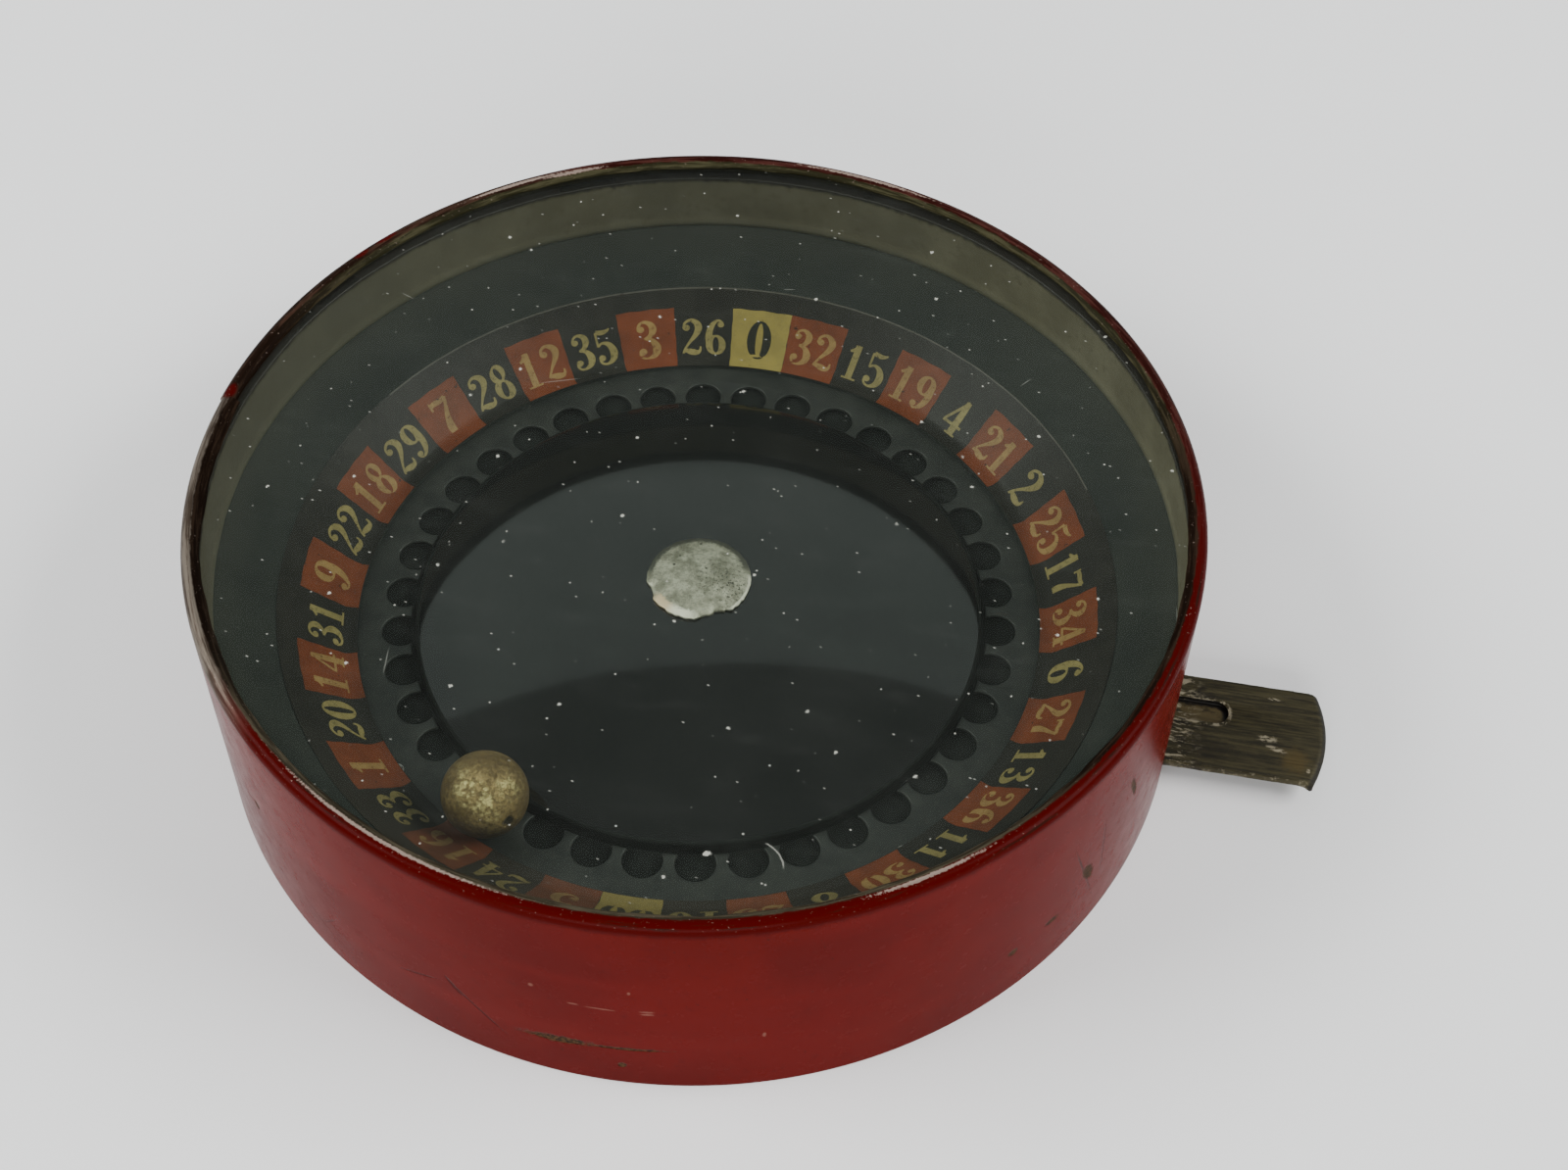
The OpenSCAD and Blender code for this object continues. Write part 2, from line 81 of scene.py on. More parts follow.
class Wire:
    """One output of a shader's node. Sums, differences and products of wires and numbers add Math nodes."""

    def __init__(self, shader, socket):
        self.shader, self.socket = shader, socket

    def __add__(self, other):
        return self.shader.math("ADD", self, other)

    def __radd__(self, other):
        return self.shader.math("ADD", other, self)

    def __sub__(self, other):
        return self.shader.math("SUBTRACT", self, other)

    def __rsub__(self, other):
        return self.shader.math("SUBTRACT", other, self)

    def __mul__(self, other):
        return self.shader.math("MULTIPLY", self, other)

    def __rmul__(self, other):
        return self.shader.math("MULTIPLY", other, self)


class Shader:
    """One procedural material. Its methods add nodes and return wires."""

    def __init__(self, name):
        self.mat = bpy.data.materials.new(name)
        self.mat.use_nodes = True
        self.tree = self.mat.node_tree
        self.tree.nodes.clear()
        self.out = self.tree.nodes.new("ShaderNodeOutputMaterial")
        self.bsdf = self.tree.nodes.new("ShaderNodeBsdfPrincipled")
        self.tree.links.new(self.bsdf.outputs[0], self.out.inputs[0])
        coords = self.tree.nodes.new("ShaderNodeTexCoord")
        self.point = self.scaled(self.wire(coords, "Object"), (1 / MM,) * 3)
        self._xyz = None

    def node(self, kind, **props):
        n = self.tree.nodes.new(kind)
        for k, v in props.items():
            setattr(n, k, v)
        return n

    def wire(self, node, which=0):
        return Wire(self, node.outputs[which])

    def feed(self, socket, value):
        if isinstance(value, Wire):
            self.tree.links.new(value.socket, socket)
        elif isinstance(value, (tuple, list)) and len(value) == 3 and socket.type == "RGBA":
            socket.default_value = (*value, 1.0)
        else:
            socket.default_value = value

    def scaled(self, vector, by):
        n = self.node("ShaderNodeVectorMath", operation="MULTIPLY")
        self.feed(n.inputs[0], vector)
        n.inputs[1].default_value = by
        return self.wire(n)

    def xyz(self):
        if self._xyz is None:
            n = self.node("ShaderNodeSeparateXYZ")
            self.feed(n.inputs[0], self.point)
            self._xyz = [self.wire(n, i) for i in range(3)]
        return self._xyz

    def vector(self, x, y, z):
        n = self.node("ShaderNodeCombineXYZ")
        for s, v in zip(n.inputs, (x, y, z)):
            self.feed(s, v)
        return self.wire(n)

    def math(self, op, a, b=0.0, clamp=False):
        n = self.node("ShaderNodeMath", operation=op, use_clamp=clamp)
        self.feed(n.inputs[0], a)
        self.feed(n.inputs[1], b)
        return self.wire(n)

    def span(self, value, low, high, to=(0.0, 1.0)):
        """0 to 1 as value goes from low to high, clamped and eased."""
        n = self.node("ShaderNodeMapRange", interpolation_type="SMOOTHSTEP")
        self.feed(n.inputs["Value"], value)
        self.feed(n.inputs["From Min"], low)
        self.feed(n.inputs["From Max"], high)
        n.inputs["To Min"].default_value, n.inputs["To Max"].default_value = to
        return self.wire(n)

    def noise(self, scale, detail=4.0, rough=0.55, vector=None, warp=0.0):
        n = self.node("ShaderNodeTexNoise")
        self.feed(n.inputs["Vector"], self.point if vector is None else vector)
        n.inputs["Scale"].default_value = scale
        n.inputs["Detail"].default_value = detail
        n.inputs["Roughness"].default_value = rough
        n.inputs["Distortion"].default_value = warp
        return self.wire(n)

    def cells(self, scale, flat=False, vector=None):
        """Distance to the nearest of scattered points, in cell widths. Flat ones ignore z."""
        n = self.node("ShaderNodeTexVoronoi", voronoi_dimensions="2D" if flat else "3D")
        self.feed(n.inputs["Vector"], self.point if vector is None else vector)
        n.inputs["Scale"].default_value = scale
        return self.wire(n, "Distance")

    def mix(self, factor, a, b):
        n = self.node("ShaderNodeMix", data_type="RGBA")
        self.feed(n.inputs[0], factor)
        self.feed(n.inputs[6], a)
        self.feed(n.inputs[7], b)
        return self.wire(n, 2)

    def polar(self):
        """(radius, azimuth in radians) about the rotor's axis."""
        x, y, _ = self.xyz()
        return self.length(x, y), self.math("ARCTAN2", y, x)

    def length(self, x, y):
        return self.math("SQRT", x * x + y * y)

    def blot(self, u, v, cu, cv, half_u, half_v, tilt=0.0, ragged=None, edge=0.35):
        """1 inside an ellipse about (cu, cv) in the coordinates u and v, with a ragged edge."""
        c, s = math.cos(tilt), math.sin(tilt)
        du, dv = u - cu, v - cv
        p = du * (c / half_u) + dv * (s / half_u)
        q = du * (-s / half_v) + dv * (c / half_v)
        d = self.length(p, q)
        if ragged is not None:
            d = d + ragged
        return self.span(d, 1.0 + edge, 1.0 - edge)

    def blots(self, u, v, *rows):
        """Any of several blots, each row as blot takes it after u and v."""
        return self.most(*(self.blot(u, v, *row) for row in rows))

    def most(self, *values):
        out = values[0]
        for v in values[1:]:
            out = self.math("MAXIMUM", out, v)
        return out

    def bump(self, height, depth, under=None):
        """A normal from a height of 0 to 1, depth millimetres deep."""
        n = self.node("ShaderNodeBump")
        n.inputs["Strength"].default_value = 1.0
        n.inputs["Distance"].default_value = depth * MM
        self.feed(n.inputs["Height"], height)
        if under is not None:
            self.feed(n.inputs["Normal"], under)
        return self.wire(n)

    def set(self, **values):
        for k, v in values.items():
            self.feed(self.bsdf.inputs[k.replace("_", " ")], v)
        return self


def aged_metal(name, bright, dark, stain, roughness=0.38, grain=(1, 1, 1), size=0.5, stained=0.55):
    """Bare metal with tone mottling, grain along the short axis of grain, and stains in the hollows."""
    s = Shader(name)
    broad = s.noise(size, 5, 0.6)
    lines = s.noise(3.0, 3, 0.6, s.scaled(s.point, grain))
    tone = broad * 0.65 + lines * 0.35
    colour = s.mix(s.span(tone, 0.38, 0.64), dark, bright)
    spots = s.span(s.noise(size * 3.1, 7, 0.7), stained, stained + 0.12)
    colour = s.mix(spots * 0.8, colour, stain)
    rough = s.noise(2.2, 4, 0.6) * 0.25 + spots * 0.2
    s.set(Base_Color=colour, Metallic=1.0, Roughness=rough + (roughness - 0.12),
          Normal=s.bump(lines + spots * -0.6, 0.02))
    return s.mat


def lacquered_tin():
    """Red lacquer, worn through along the rim, chipped and scratched on the wall, with painted highlights on
    the rim's crest and lip.
    """
    s = Shader("lacquered_tin")
    z = s.xyz()[2]
    r, turn = s.polar()
    along = turn * CASE_R
    wall = s.vector(along, z, r * 0.5)
    broad = s.noise(0.07, 4, 0.55)
    fine = s.noise(0.9, 6, 0.62)
    grit = s.noise(5.0, 3, 0.6)

    red = s.mix(s.span(broad, 0.35, 0.68), (0.062, 0.0017, 0.001), (0.079, 0.0025, 0.0014))
    red = s.mix(s.span(fine, 0.55, 0.8), red, (0.058, 0.002, 0.0015))
    # rubbed, slightly paler bands, stretched round the wall
    red = s.mix(s.span(s.noise(0.16, 2, 0.5, s.scaled(wall, (0.25, 1.6, 1))), 0.5, 0.75) * 0.5, red,
                (0.09, 0.0036, 0.0024))
    speck = s.span(s.noise(2.6, 2, 0.5), 0.735, 0.76)
    red = s.mix(speck * 0.75, red, (0.018, 0.005, 0.003))

    # long hair scratches
    hair = s.span(s.noise(0.5, 2, 0.5, s.scaled(wall, (0.35, 9.0, 1))), 0.725, 0.75)
    steep = s.span(s.noise(0.45, 2, 0.5, s.scaled(s.vector(along + z, z, r), (5.0, 0.3, 1))), 0.735, 0.76)
    hair = s.most(hair, steep) * 0.4
    red = s.mix(hair, red, (0.03, 0.004, 0.003))

    ragged = (s.noise(1.7, 5, 0.7) - 0.5) * 1.9
    soft_rag = (s.noise(2.9, 5, 0.7) - 0.5) * 1.2

    def marks(*rows, ragged=ragged):
        """Marks on the wall, each (azimuth in degrees, height, half length, half width, tilt)."""
        return s.most(*(s.blot(along, z, math.radians(azimuth) * CASE_R, *row, ragged=ragged, edge=0.3)
                        for azimuth, *row in rows))

    chips = marks((-93.2, 5.15, 2.6, 0.42, 0.05), (-86.0, 5.3, 2.9, 0.16, 0.03), (-42.2, 5.8, 0.45, 0.35),
                  (-86.6, 2.8, 0.3, 0.32), (-134.9, 11.6, 0.32, 0.45, 0.5), (-23.2, 13.9, 0.28, 1.7, 0.35),
                  (-30.8, 8.6, 0.5, 1.3, 0.4), (-36.3, 6.1, 0.7, 0.3), (36.0, 7.5, 1.1, 0.4, 0.3),
                  (118.0, 4.0, 1.8, 0.35, -0.1), (152.0, 13.0, 0.4, 1.1, 0.2))
    scores = marks((-105.0, 8.0, 1.1, 0.16, -1.0), (-102.6, 6.2, 3.0, 0.1, -0.85),
                   (-109.5, 7.2, 1.8, 0.08, 0.4), (-31.5, 9.0, 0.1, 4.6, 0.35),
                   (-28.4, 10.2, 0.09, 3.6, 0.1), (-125.5, 4.5, 1.9, 0.08, -0.6),
                   (-123.0, 5.2, 1.3, 0.07, 0.9), (70.0, 9.0, 3.2, 0.09, 0.5),
                   (140.0, 6.5, 4.0, 0.08, -0.3), (10.5, 15.0, 0.08, 2.4, 0.2),
                   (-160.0, 9.5, 2.6, 0.09, 0.7), ragged=soft_rag)
    colour = s.mix(scores * 0.8, red, (0.026, 0.0025, 0.002))
    bruise = s.most(marks((-83.6, 11.1, 0.5, 0.1, 0.05), (-83.6, 10.75, 0.5, 0.12, 0.05)),
                    marks((-88.4, 10.9, 1.0, 0.08), ragged=soft_rag),
                    marks((-91.3, 11.0, 0.35, 0.1), (-95.6, 12.4, 0.18, 0.2), (-85.3, 13.6, 0.12, 0.2),
                          (-71.5, 7.4, 0.12, 0.3)))
    colour = s.mix(bruise * 0.55, colour, (0.17, 0.075, 0.055))

    # the rim: dark red crest, thin dark lip inside it, streaked bare metal on the left, and painted
    # highlights where the lamps' reflections fall on the crest
    up = z + (fine - 0.5) * 0.9
    full = turn + s.math("LESS_THAN", turn, 0.0) * (2 * math.pi)
    left = s.span(full, SEAM - 0.01, SEAM + 0.01) * s.span(full, BARE_END + 0.12, BARE_END - 0.1)
    far = s.span(s.math("SINE", turn), 0.2, 0.6)
    streaks = s.noise(1.0, 6, 0.7, s.vector(along * 0.16, r * 2.6, z * 2.6))
    worn_red = s.mix(s.span(streaks, 0.42, 0.62), (0.017, 0.0035, 0.0025), (0.06, 0.02, 0.016))
    brown_side = s.span(full, 2.0, 2.35) * s.span(full, SEAM + 0.01, SEAM - 0.01)
    worn_red = s.mix(brown_side, worn_red, s.mix(s.span(streaks, 0.42, 0.62), (0.01, 0.005, 0.003),
                                                 (0.045, 0.024, 0.016)))
    colour = s.mix(s.span(up, 21.2, 21.8), colour,
                   s.mix(s.most(brown_side, s.span(s.math("SINE", turn), -0.1, 0.5)),
                         (0.045, 0.0012, 0.001), worn_red))
    colour = s.mix(s.span(streaks, 0.54, 0.66) * s.span(z, 21.9, 22.3), colour, (0.02, 0.006, 0.004))
    inward = r + (s.noise(1.1, 4, 0.6) - 0.5) * 0.35
    crest = s.span(z, 21.3, 21.8)
    inward = inward + far * 0.25
    lip = s.span(inward, 39.1, 38.95) * crest
    bare_left = left * s.span(streaks, 0.22, 0.34) * s.span(z, 20.9, 21.5)
    colour = s.mix(bare_left, colour, s.mix(s.span(streaks, 0.4, 0.6), (0.045, 0.032, 0.023),
                                            (0.15, 0.125, 0.1)))
    # the lip is painted paler towards the front, a painted highlight along the near lip over its worn metal,
    # and lighter and more olive at the back
    by_front = s.span(s.math("SINE", turn), -0.5, -0.8)
    dark_lip = s.mix(by_front, s.mix(far, (0.007, 0.0035, 0.002), (0.014, 0.013, 0.006)),
                     (0.024, 0.019, 0.012))
    pale_lip = s.mix(by_front, s.mix(far, (0.022, 0.013, 0.008), (0.042, 0.039, 0.02)), (0.06, 0.05, 0.032))
    colour = s.mix(lip, colour, s.mix(s.span(streaks, 0.45, 0.6), dark_lip, pale_lip))
    seam_red = s.blots(along, r, ((SEAM - 0.015) * CASE_R, 39.2, 0.8, 0.45),
                       ((SEAM - 0.49) * CASE_R, 39.3, 0.8, 0.3), ((SEAM - 0.56) * CASE_R, 39.35, 1.1, 0.3))
    colour = s.mix(seam_red * crest * 0.85, colour, (0.05, 0.0008, 0.0008))
    rim_rag = (grit - 0.5) * 2.4
    # painted highlights: bright metal-coloured patches along the crest where the lamps' reflections fall,
    # joined with random specks of wear
    glint_spots = (126, 39.1, 3.8), (118, 38.9, 2.2), (79, 39.2, 5.0), (-54, 39.2, 3.8), (-112, 39.05, 8.0)
    rubbed = s.blots(along, r, *((math.radians(azimuth) * CASE_R, at, half, 0.13, 0.0, rim_rag, 0.4)
                                 for azimuth, at, half in glint_spots))
    flecks_and_glints = s.most(rubbed, s.span(grit, 0.66, 0.72) * 0.3) * s.span(z, 21.9, 22.2)
    colour = s.mix(flecks_and_glints, colour, (0.36, 0.27, 0.22))
    bare = s.most(lip, bare_left)
    colour = s.mix(chips, colour, s.mix(s.span(grit, 0.42, 0.62), (0.01, 0.005, 0.0025),
                                        (0.06, 0.03, 0.012)))
    # plain tin inside the wall, under the lip
    inside = s.span(r, 39.8, 39.7) * s.span(z, 21.75, 21.6)
    colour = s.mix(inside, colour, (0.06, 0.055, 0.04))

    through = s.most(chips, bare)
    rough = s.noise(0.6, 5, 0.65) * 0.26 + 0.12
    rough = rough + through * 0.22
    height = s.noise(0.35, 3, 0.5) * 0.5 - s.most(chips, scores * 0.5) * 0.9
    skin = s.bump(s.noise(2.6, 3, 0.55), 0.004)
    s.set(Base_Color=colour, Roughness=rough, Metallic=s.most(bare_left, flecks_and_glints) * 0.6,
          Normal=s.bump(height, 0.05, skin), IOR=1.078)
    return s.mat


def pane_glass():
    """Clear glass with a veil of dust, specks and fine scratches, see-through by a Transparent shader."""
    s = Shader("pane_glass")
    x, y, z = s.xyz()
    clear = s.node("ShaderNodeBsdfTransparent")
    clear.inputs[0].default_value = (0.94, 0.96, 0.935, 1)
    top = s.span(z, GLASS_TOP - 0.1, GLASS_TOP - 0.02)

    veil = s.span(s.noise(0.11, 5, 0.6), 0.25, 0.8, (0.012, 0.028))
    smear = s.span(s.noise(0.35, 6, 0.65, s.scaled(s.point, (0.5, 1.7, 1))), 0.5, 0.8) * 0.03
    stir = (s.noise(7.0, 3, 0.7) - 0.5) * 0.05
    slant = s.vector(x + y * 0.5, y * 1.7, z)
    large = s.span(s.cells(0.1, True) + stir, 0.019, 0.008) * s.span(s.noise(0.3, 1, 0.5), 0.4, 0.5)
    dots = s.span(s.cells(0.34, True) + stir, 0.04, 0.018) * s.span(s.noise(0.5, 1, 0.5), 0.5, 0.68)
    chaff = s.span(s.cells(0.3, True, slant) + stir, 0.044, 0.022) * s.span(s.noise(0.4, 1, 0.5), 0.5, 0.68)
    powder = s.span(s.cells(1.1, True), 0.07, 0.03) * s.span(s.noise(0.6, 2, 0.5), 0.46, 0.66)
    specks = s.most(large, dots * 0.9, chaff * 0.7, powder * 0.12)
    fleck = s.blot(x, y, 7.5, -32.5, 0.3, 0.2, 0.4, (s.noise(5, 2) - 0.5) * 1.5)
    dx, dy = x - 10.6, y - -33.2
    round_d = s.length(dx, dy)
    curl = s.span(s.math("ABSOLUTE", round_d + stir * 4.0 - 2.4), 0.1,
                  0.03) * (s.span(y, -32.9, -32.4) * s.span(x, 11.2, 11.5) * 0.6)
    hairs = s.blots(x, y, (-19.1, -20.6, 0.055, 1.15, 0.12), (38.0, -5.2, 0.06, 0.9, 0.1),
                    (-13.5, 9.8, 1.6, 0.06, 0.35), (-28.4, 17.0, 0.7, 0.05, -0.4),
                    (24.0, 17.0, 0.6, 0.05, 0.9), (3.0, 24.0, 0.5, 0.05, 0.2))
    marks = s.most(specks, fleck, curl, hairs * 0.35) * top
    cover = (veil + smear) * top + 0.006
    cover = s.math("MAXIMUM", cover, marks * 0.62, True)

    s.set(Base_Color=s.mix(marks, (0.2, 0.215, 0.19), (0.6, 0.6, 0.52)), Roughness=0.75,
          Specular_IOR_Level=0.1)
    dusty = s.node("ShaderNodeMixShader")
    s.feed(dusty.inputs[0], cover)
    s.feed(dusty.inputs[1], s.wire(clear))
    s.feed(dusty.inputs[2], s.wire(s.bsdf))
    gloss = s.node("ShaderNodeBsdfGlossy")
    gloss.inputs["Color"].default_value = (0.95, 1, 0.98, 1)
    gloss.inputs["Roughness"].default_value = 0.03
    fresnel = s.node("ShaderNodeFresnel")
    fresnel.inputs["IOR"].default_value = 1.12
    pane = s.node("ShaderNodeMixShader")
    s.feed(pane.inputs[0], s.wire(fresnel) * top)
    s.feed(pane.inputs[1], s.wire(dusty))
    s.feed(pane.inputs[2], s.wire(gloss))
    s.feed(s.out.inputs[0], s.wire(pane))
    return s.mat


def olive_hoop():
    """The strip inside the wall, between dish and glass: aged olive paint, darker towards its bottom edge,
    with a painted shadow along its top under the glass and painted shade on its left side.
    """
    s = Shader("olive_hoop")
    x, _, z = s.xyz()
    fine = s.noise(1.3, 6, 0.65)
    colour = s.mix(s.span(s.noise(0.22, 4), 0.35, 0.7), (0.115, 0.104, 0.064), (0.15, 0.137, 0.088))
    colour = s.mix(s.span(fine, 0.52, 0.75) * 0.6, colour, (0.08, 0.071, 0.042))
    # painted shade: darker on the left side
    shaded = s.span(x + fine * 8.0, -14.0, -36.0)
    colour = s.mix(shaded * 0.7, colour, (0.068, 0.064, 0.046))
    low = s.span(z + fine * 0.9, 16.3, 15.5)
    colour = s.mix(low * 0.7, colour, (0.085, 0.085, 0.055))
    # painted shadow: nearly black along the top, under the glass and lip
    high = s.span(z + fine * 0.7, 20.3, 20.8)
    colour = s.mix(high, colour, (0.016, 0.012, 0.007))
    s.set(Base_Color=colour, Roughness=fine * 0.3 + 0.5, Normal=s.bump(s.noise(2.5, 5, 0.65), 0.03))
    return s.mat


def dish_enamel():
    """Blue-black enamel, clouded with dust towards the wall."""
    s = Shader("dish_enamel")
    r, _ = s.polar()
    broad = s.noise(0.14, 5, 0.6)
    fine = s.noise(1.6, 6, 0.7)
    colour = s.mix(s.span(broad, 0.3, 0.7), (0.017, 0.021, 0.0185), (0.025, 0.029, 0.0245))
    dust = s.span(r + fine * 3.0, 36.5, 41.0) * 0.5
    colour = s.mix(dust, colour, (0.04, 0.041, 0.032))
    grain = s.span(s.noise(2.4, 2, 0.5), 0.6, 0.75)
    colour = s.mix(grain * 0.05, colour, (0.07, 0.075, 0.068))
    s.set(Base_Color=colour, Roughness=fine * 0.25 + 0.5, Normal=s.bump(s.noise(0.7, 2, 0.5), 0.004),
          Specular_IOR_Level=0.12)
    return s.mat


def print_ink(name, light, dark, worn, wear=0.62, roughness=0.42):
    """Ink on aged paper under old varnish: fibre grain, foxing spots, rubbed places, and painted shade
    greying it towards the near side.
    """
    s = Shader(name)
    fibre = s.noise(5.5, 5, 0.7, s.scaled(s.point, (1, 1, 0.6)))
    broad = s.noise(0.45, 4, 0.6)
    colour = s.mix(s.span(broad * 0.6 + fibre * 0.4, 0.36, 0.64), dark, light)
    rub = s.span(s.noise(2.8, 6, 0.75), wear - 0.05, wear + 0.06)
    colour = s.mix(rub * 0.7, colour, worn)
    # painted shade: darker and greyer towards the near side, where the case wall shades the dish
    near_shade = s.span(s.xyz()[1] + broad * 6.0, -17.0, -28.0)
    colour = s.mix(near_shade * 0.5, colour, (0.045, 0.038, 0.03))
    fox = s.span(s.noise(1.9, 2, 0.5), 0.72, 0.75)
    colour = s.mix(fox * 0.8, colour, (0.02, 0.014, 0.01))
    s.set(Base_Color=colour, Roughness=fibre * 0.2 + (roughness - 0.1),
          Normal=s.bump(fibre + broad * 1.5, 0.005), Specular_IOR_Level=0.12)
    return s.mat


def pocket_tin():
    """Grey-green tin of the pocket ring, dusty, with darker edges."""
    s = Shader("pocket_tin")
    broad = s.noise(0.3, 5, 0.6)
    fine = s.noise(2.2, 6, 0.7)
    colour = s.mix(s.span(broad, 0.32, 0.68), (0.0095, 0.0118, 0.01), (0.0215, 0.024, 0.02))
    colour = s.mix(s.span(fine, 0.5, 0.72) * 0.6, colour, (0.036, 0.036, 0.03))
    grime = s.span(s.noise(0.7, 6, 0.75), 0.5, 0.64) * s.span(s.polar()[0], 27.6, 26.6)
    colour = s.mix(grime * 0.75, colour, (0.009, 0.0105, 0.009))
    rust = s.span(s.noise(0.8, 5, 0.7), 0.66, 0.74)
    colour = s.mix(rust * 0.5, colour, (0.04, 0.024, 0.015))
    s.set(Base_Color=colour, Metallic=0.15, Roughness=fine * 0.3 + 0.38, Normal=s.bump(fine, 0.02))
    return s.mat


def rotor_enamel():
    """Glossy black enamel of the dome, spun marks and dust hardly showing."""
    s = Shader("rotor_enamel")
    r, _ = s.polar()
    spun = s.noise(1.0, 3, 0.6, s.vector(r * 4.0, 0.0, 0.0))
    fine = s.noise(1.4, 6, 0.7)
    colour = s.mix(s.span(s.noise(0.12, 4), 0.3, 0.7), (0.0025, 0.003, 0.0028), (0.0045, 0.005, 0.0046))
    colour = s.mix(s.span(fine, 0.6, 0.8) * 0.3, colour, (0.012, 0.013, 0.012))
    s.set(Base_Color=colour, Roughness=fine * 0.06 + 0.04, Normal=s.bump(spun, 0.0003), IOR=1.55)
    return s.mat


def rotor_brim():
    """The rotor's step and brim: the black rubbed dull and filled with dust."""
    s = Shader("rotor_brim")
    fine = s.noise(1.8, 6, 0.7)
    colour = s.mix(s.span(s.noise(0.5, 5, 0.65), 0.35, 0.65), (0.006, 0.0075, 0.0066),
                   (0.0115, 0.0135, 0.012))
    colour = s.mix(s.span(fine, 0.56, 0.72) * 0.4, colour, (0.022, 0.024, 0.02))
    s.set(Base_Color=colour, Roughness=fine * 0.3 + 0.55, Normal=s.bump(fine, 0.02),
          Specular_IOR_Level=0.08)
    return s.mat


def cap_nickel():
    """Dull nickel of the hub cap: speckled, a painted shadow along its edge on the far side, a painted
    highlight crescent where its edge is bent and a painted highlight line on its right edge.
    """
    s = Shader("cap_nickel")
    x, y, _ = s.xyz()
    r = s.length(x, y)
    c, d = math.cos(PHOTO_TURN), math.sin(PHOTO_TURN)
    u = x * c + y * d
    v = y * c - x * d
    azimuth = s.math("ARCTAN2", v, u)
    fine = s.noise(3.4, 7, 0.75)
    grit = s.noise(4.2, 4, 0.8)
    colour = s.mix(s.span(s.noise(0.8, 5, 0.65), 0.35, 0.65), (0.2, 0.197, 0.145), (0.47, 0.465, 0.36))
    colour = s.mix(s.span(fine, 0.5, 0.66) * 0.5, colour, (0.14, 0.137, 0.1))
    heavy = s.blot(u, v, 2.3, -1.0, 2.6, 1.5, -0.5, (s.noise(0.9, 3) - 0.5) * 1.4, 0.5)
    speck = s.span(grit, 0.52, 0.6) * (heavy * 0.6 + 0.34)
    colour = s.mix(speck, colour, (0.035, 0.035, 0.025))
    pits = s.blots(u, v, (0.06, 3.4, 0.11, 0.11), (-2.05, 0.93, 0.12, 0.12), (0.6, 0.45, 0.1, 0.1),
                   (-1.6, 1.9, 0.08, 0.08))
    colour = s.mix(pits * 0.9, colour, (0.012, 0.011, 0.008))
    edge = r + (fine - 0.5) * 1.0
    # painted shadow: a dark band along the edge on the far side
    dull = s.span(edge, 3.55, 3.95) * (s.span(azimuth, 0.1, 0.4) * s.span(azimuth, 3.15, 2.9))
    colour = s.mix(dull * 0.9, colour, (0.06, 0.062, 0.05))
    # painted highlight: a bright crescent where the edge is bent
    crescent = s.span(edge, 3.45, 3.8) * (s.span(azimuth, -2.72, -2.5) * s.span(azimuth, -1.5, -1.75))
    colour = s.mix(crescent * 0.9, colour, s.mix(s.span(azimuth, -2.3, -2.0), (0.62, 0.48, 0.3),
                                                 (0.9, 0.88, 0.72)))
    # painted highlight: a bright line along the right of the edge
    line = s.span(r, 4.02, 4.1) * (s.span(azimuth, -0.95, -0.8) * s.span(azimuth, 0.15, 0.0))
    colour = s.mix(line * 0.7, colour, (0.75, 0.73, 0.6))
    s.set(Base_Color=colour, Metallic=0.5, Roughness=fine * 0.3 + (speck * 0.12 + 0.26),
          Normal=s.bump(fine + speck * -0.4, 0.035))
    return s.mat


def ball_brass(centre, side, up, pit):
    """Patinated brass: golden patches painted as highlights on the side facing the camera, brown patina
    between them, painted shade towards its outline and below, dark in the pit.
    """
    s = Shader("ball_brass")

    def dot(vector, point=(0, 0, 0)):
        off = s.node("ShaderNodeVectorMath", operation="SUBTRACT")
        s.feed(off.inputs[0], s.point)
        off.inputs[1].default_value = tuple(centre + Vector(point))
        n = s.node("ShaderNodeVectorMath", operation="DOT_PRODUCT")
        s.feed(n.inputs[0], s.wire(off))
        n.inputs[1].default_value = tuple(vector)
        return s.wire(n, "Value")

    u, v = dot(side / BALL_R), dot(up / BALL_R)
    broad = s.noise(0.42, 4, 0.6)
    fine = s.noise(1.9, 7, 0.72)
    grain = s.noise(4.6, 6, 0.75)
    colour = s.mix(s.span(broad * 0.5 + fine * 0.5, 0.4, 0.6), (0.2, 0.138, 0.05), (0.4, 0.295, 0.115))
    rag = (fine - 0.5) * 2.2
    # painted highlights: bright golden patches across the side that faces the camera
    glint_patches = s.most(s.blot(u, v, -0.12, 0.22, 0.62, 0.3, -0.75, rag, 0.45),
                  s.blot(u, v, 0.62, 0.35, 0.3, 0.2, -0.9, rag) * 0.7)
    glint_patches = glint_patches * s.span(s.noise(1.5, 6, 0.7), 0.42, 0.58)
    colour = s.mix(glint_patches * 0.9, colour, (0.86, 0.75, 0.33))
    # painted shade: darker towards the ball's outline as seen from the camera
    outer = s.span(u * u + v * v, 0.35, 0.95)
    colour = s.mix(outer * 0.6, colour, (0.1, 0.068, 0.03))
    brown = s.span(s.noise(2.6, 7, 0.8), 0.48, 0.58)
    colour = s.mix(brown * 0.6, colour, (0.105, 0.07, 0.027))
    # painted shade: darker on its lower side as seen from the camera
    under = s.span(v + (fine - 0.5) * 0.4, -0.3, -0.85)
    colour = s.mix(under * 0.75, colour, (0.045, 0.038, 0.022))
    off = s.node("ShaderNodeVectorMath", operation="DISTANCE")
    s.feed(off.inputs[0], s.point)
    off.inputs[1].default_value = tuple(pit)
    colour = s.mix(s.span(s.wire(off, "Value"), 0.62, 0.3) * 0.9, colour, (0.016, 0.017, 0.011))
    s.set(Base_Color=colour, Metallic=0.4, Roughness=fine * 0.3 + 0.34,
          Normal=s.bump(grain - brown * 0.4, 0.08))
    return s.mat


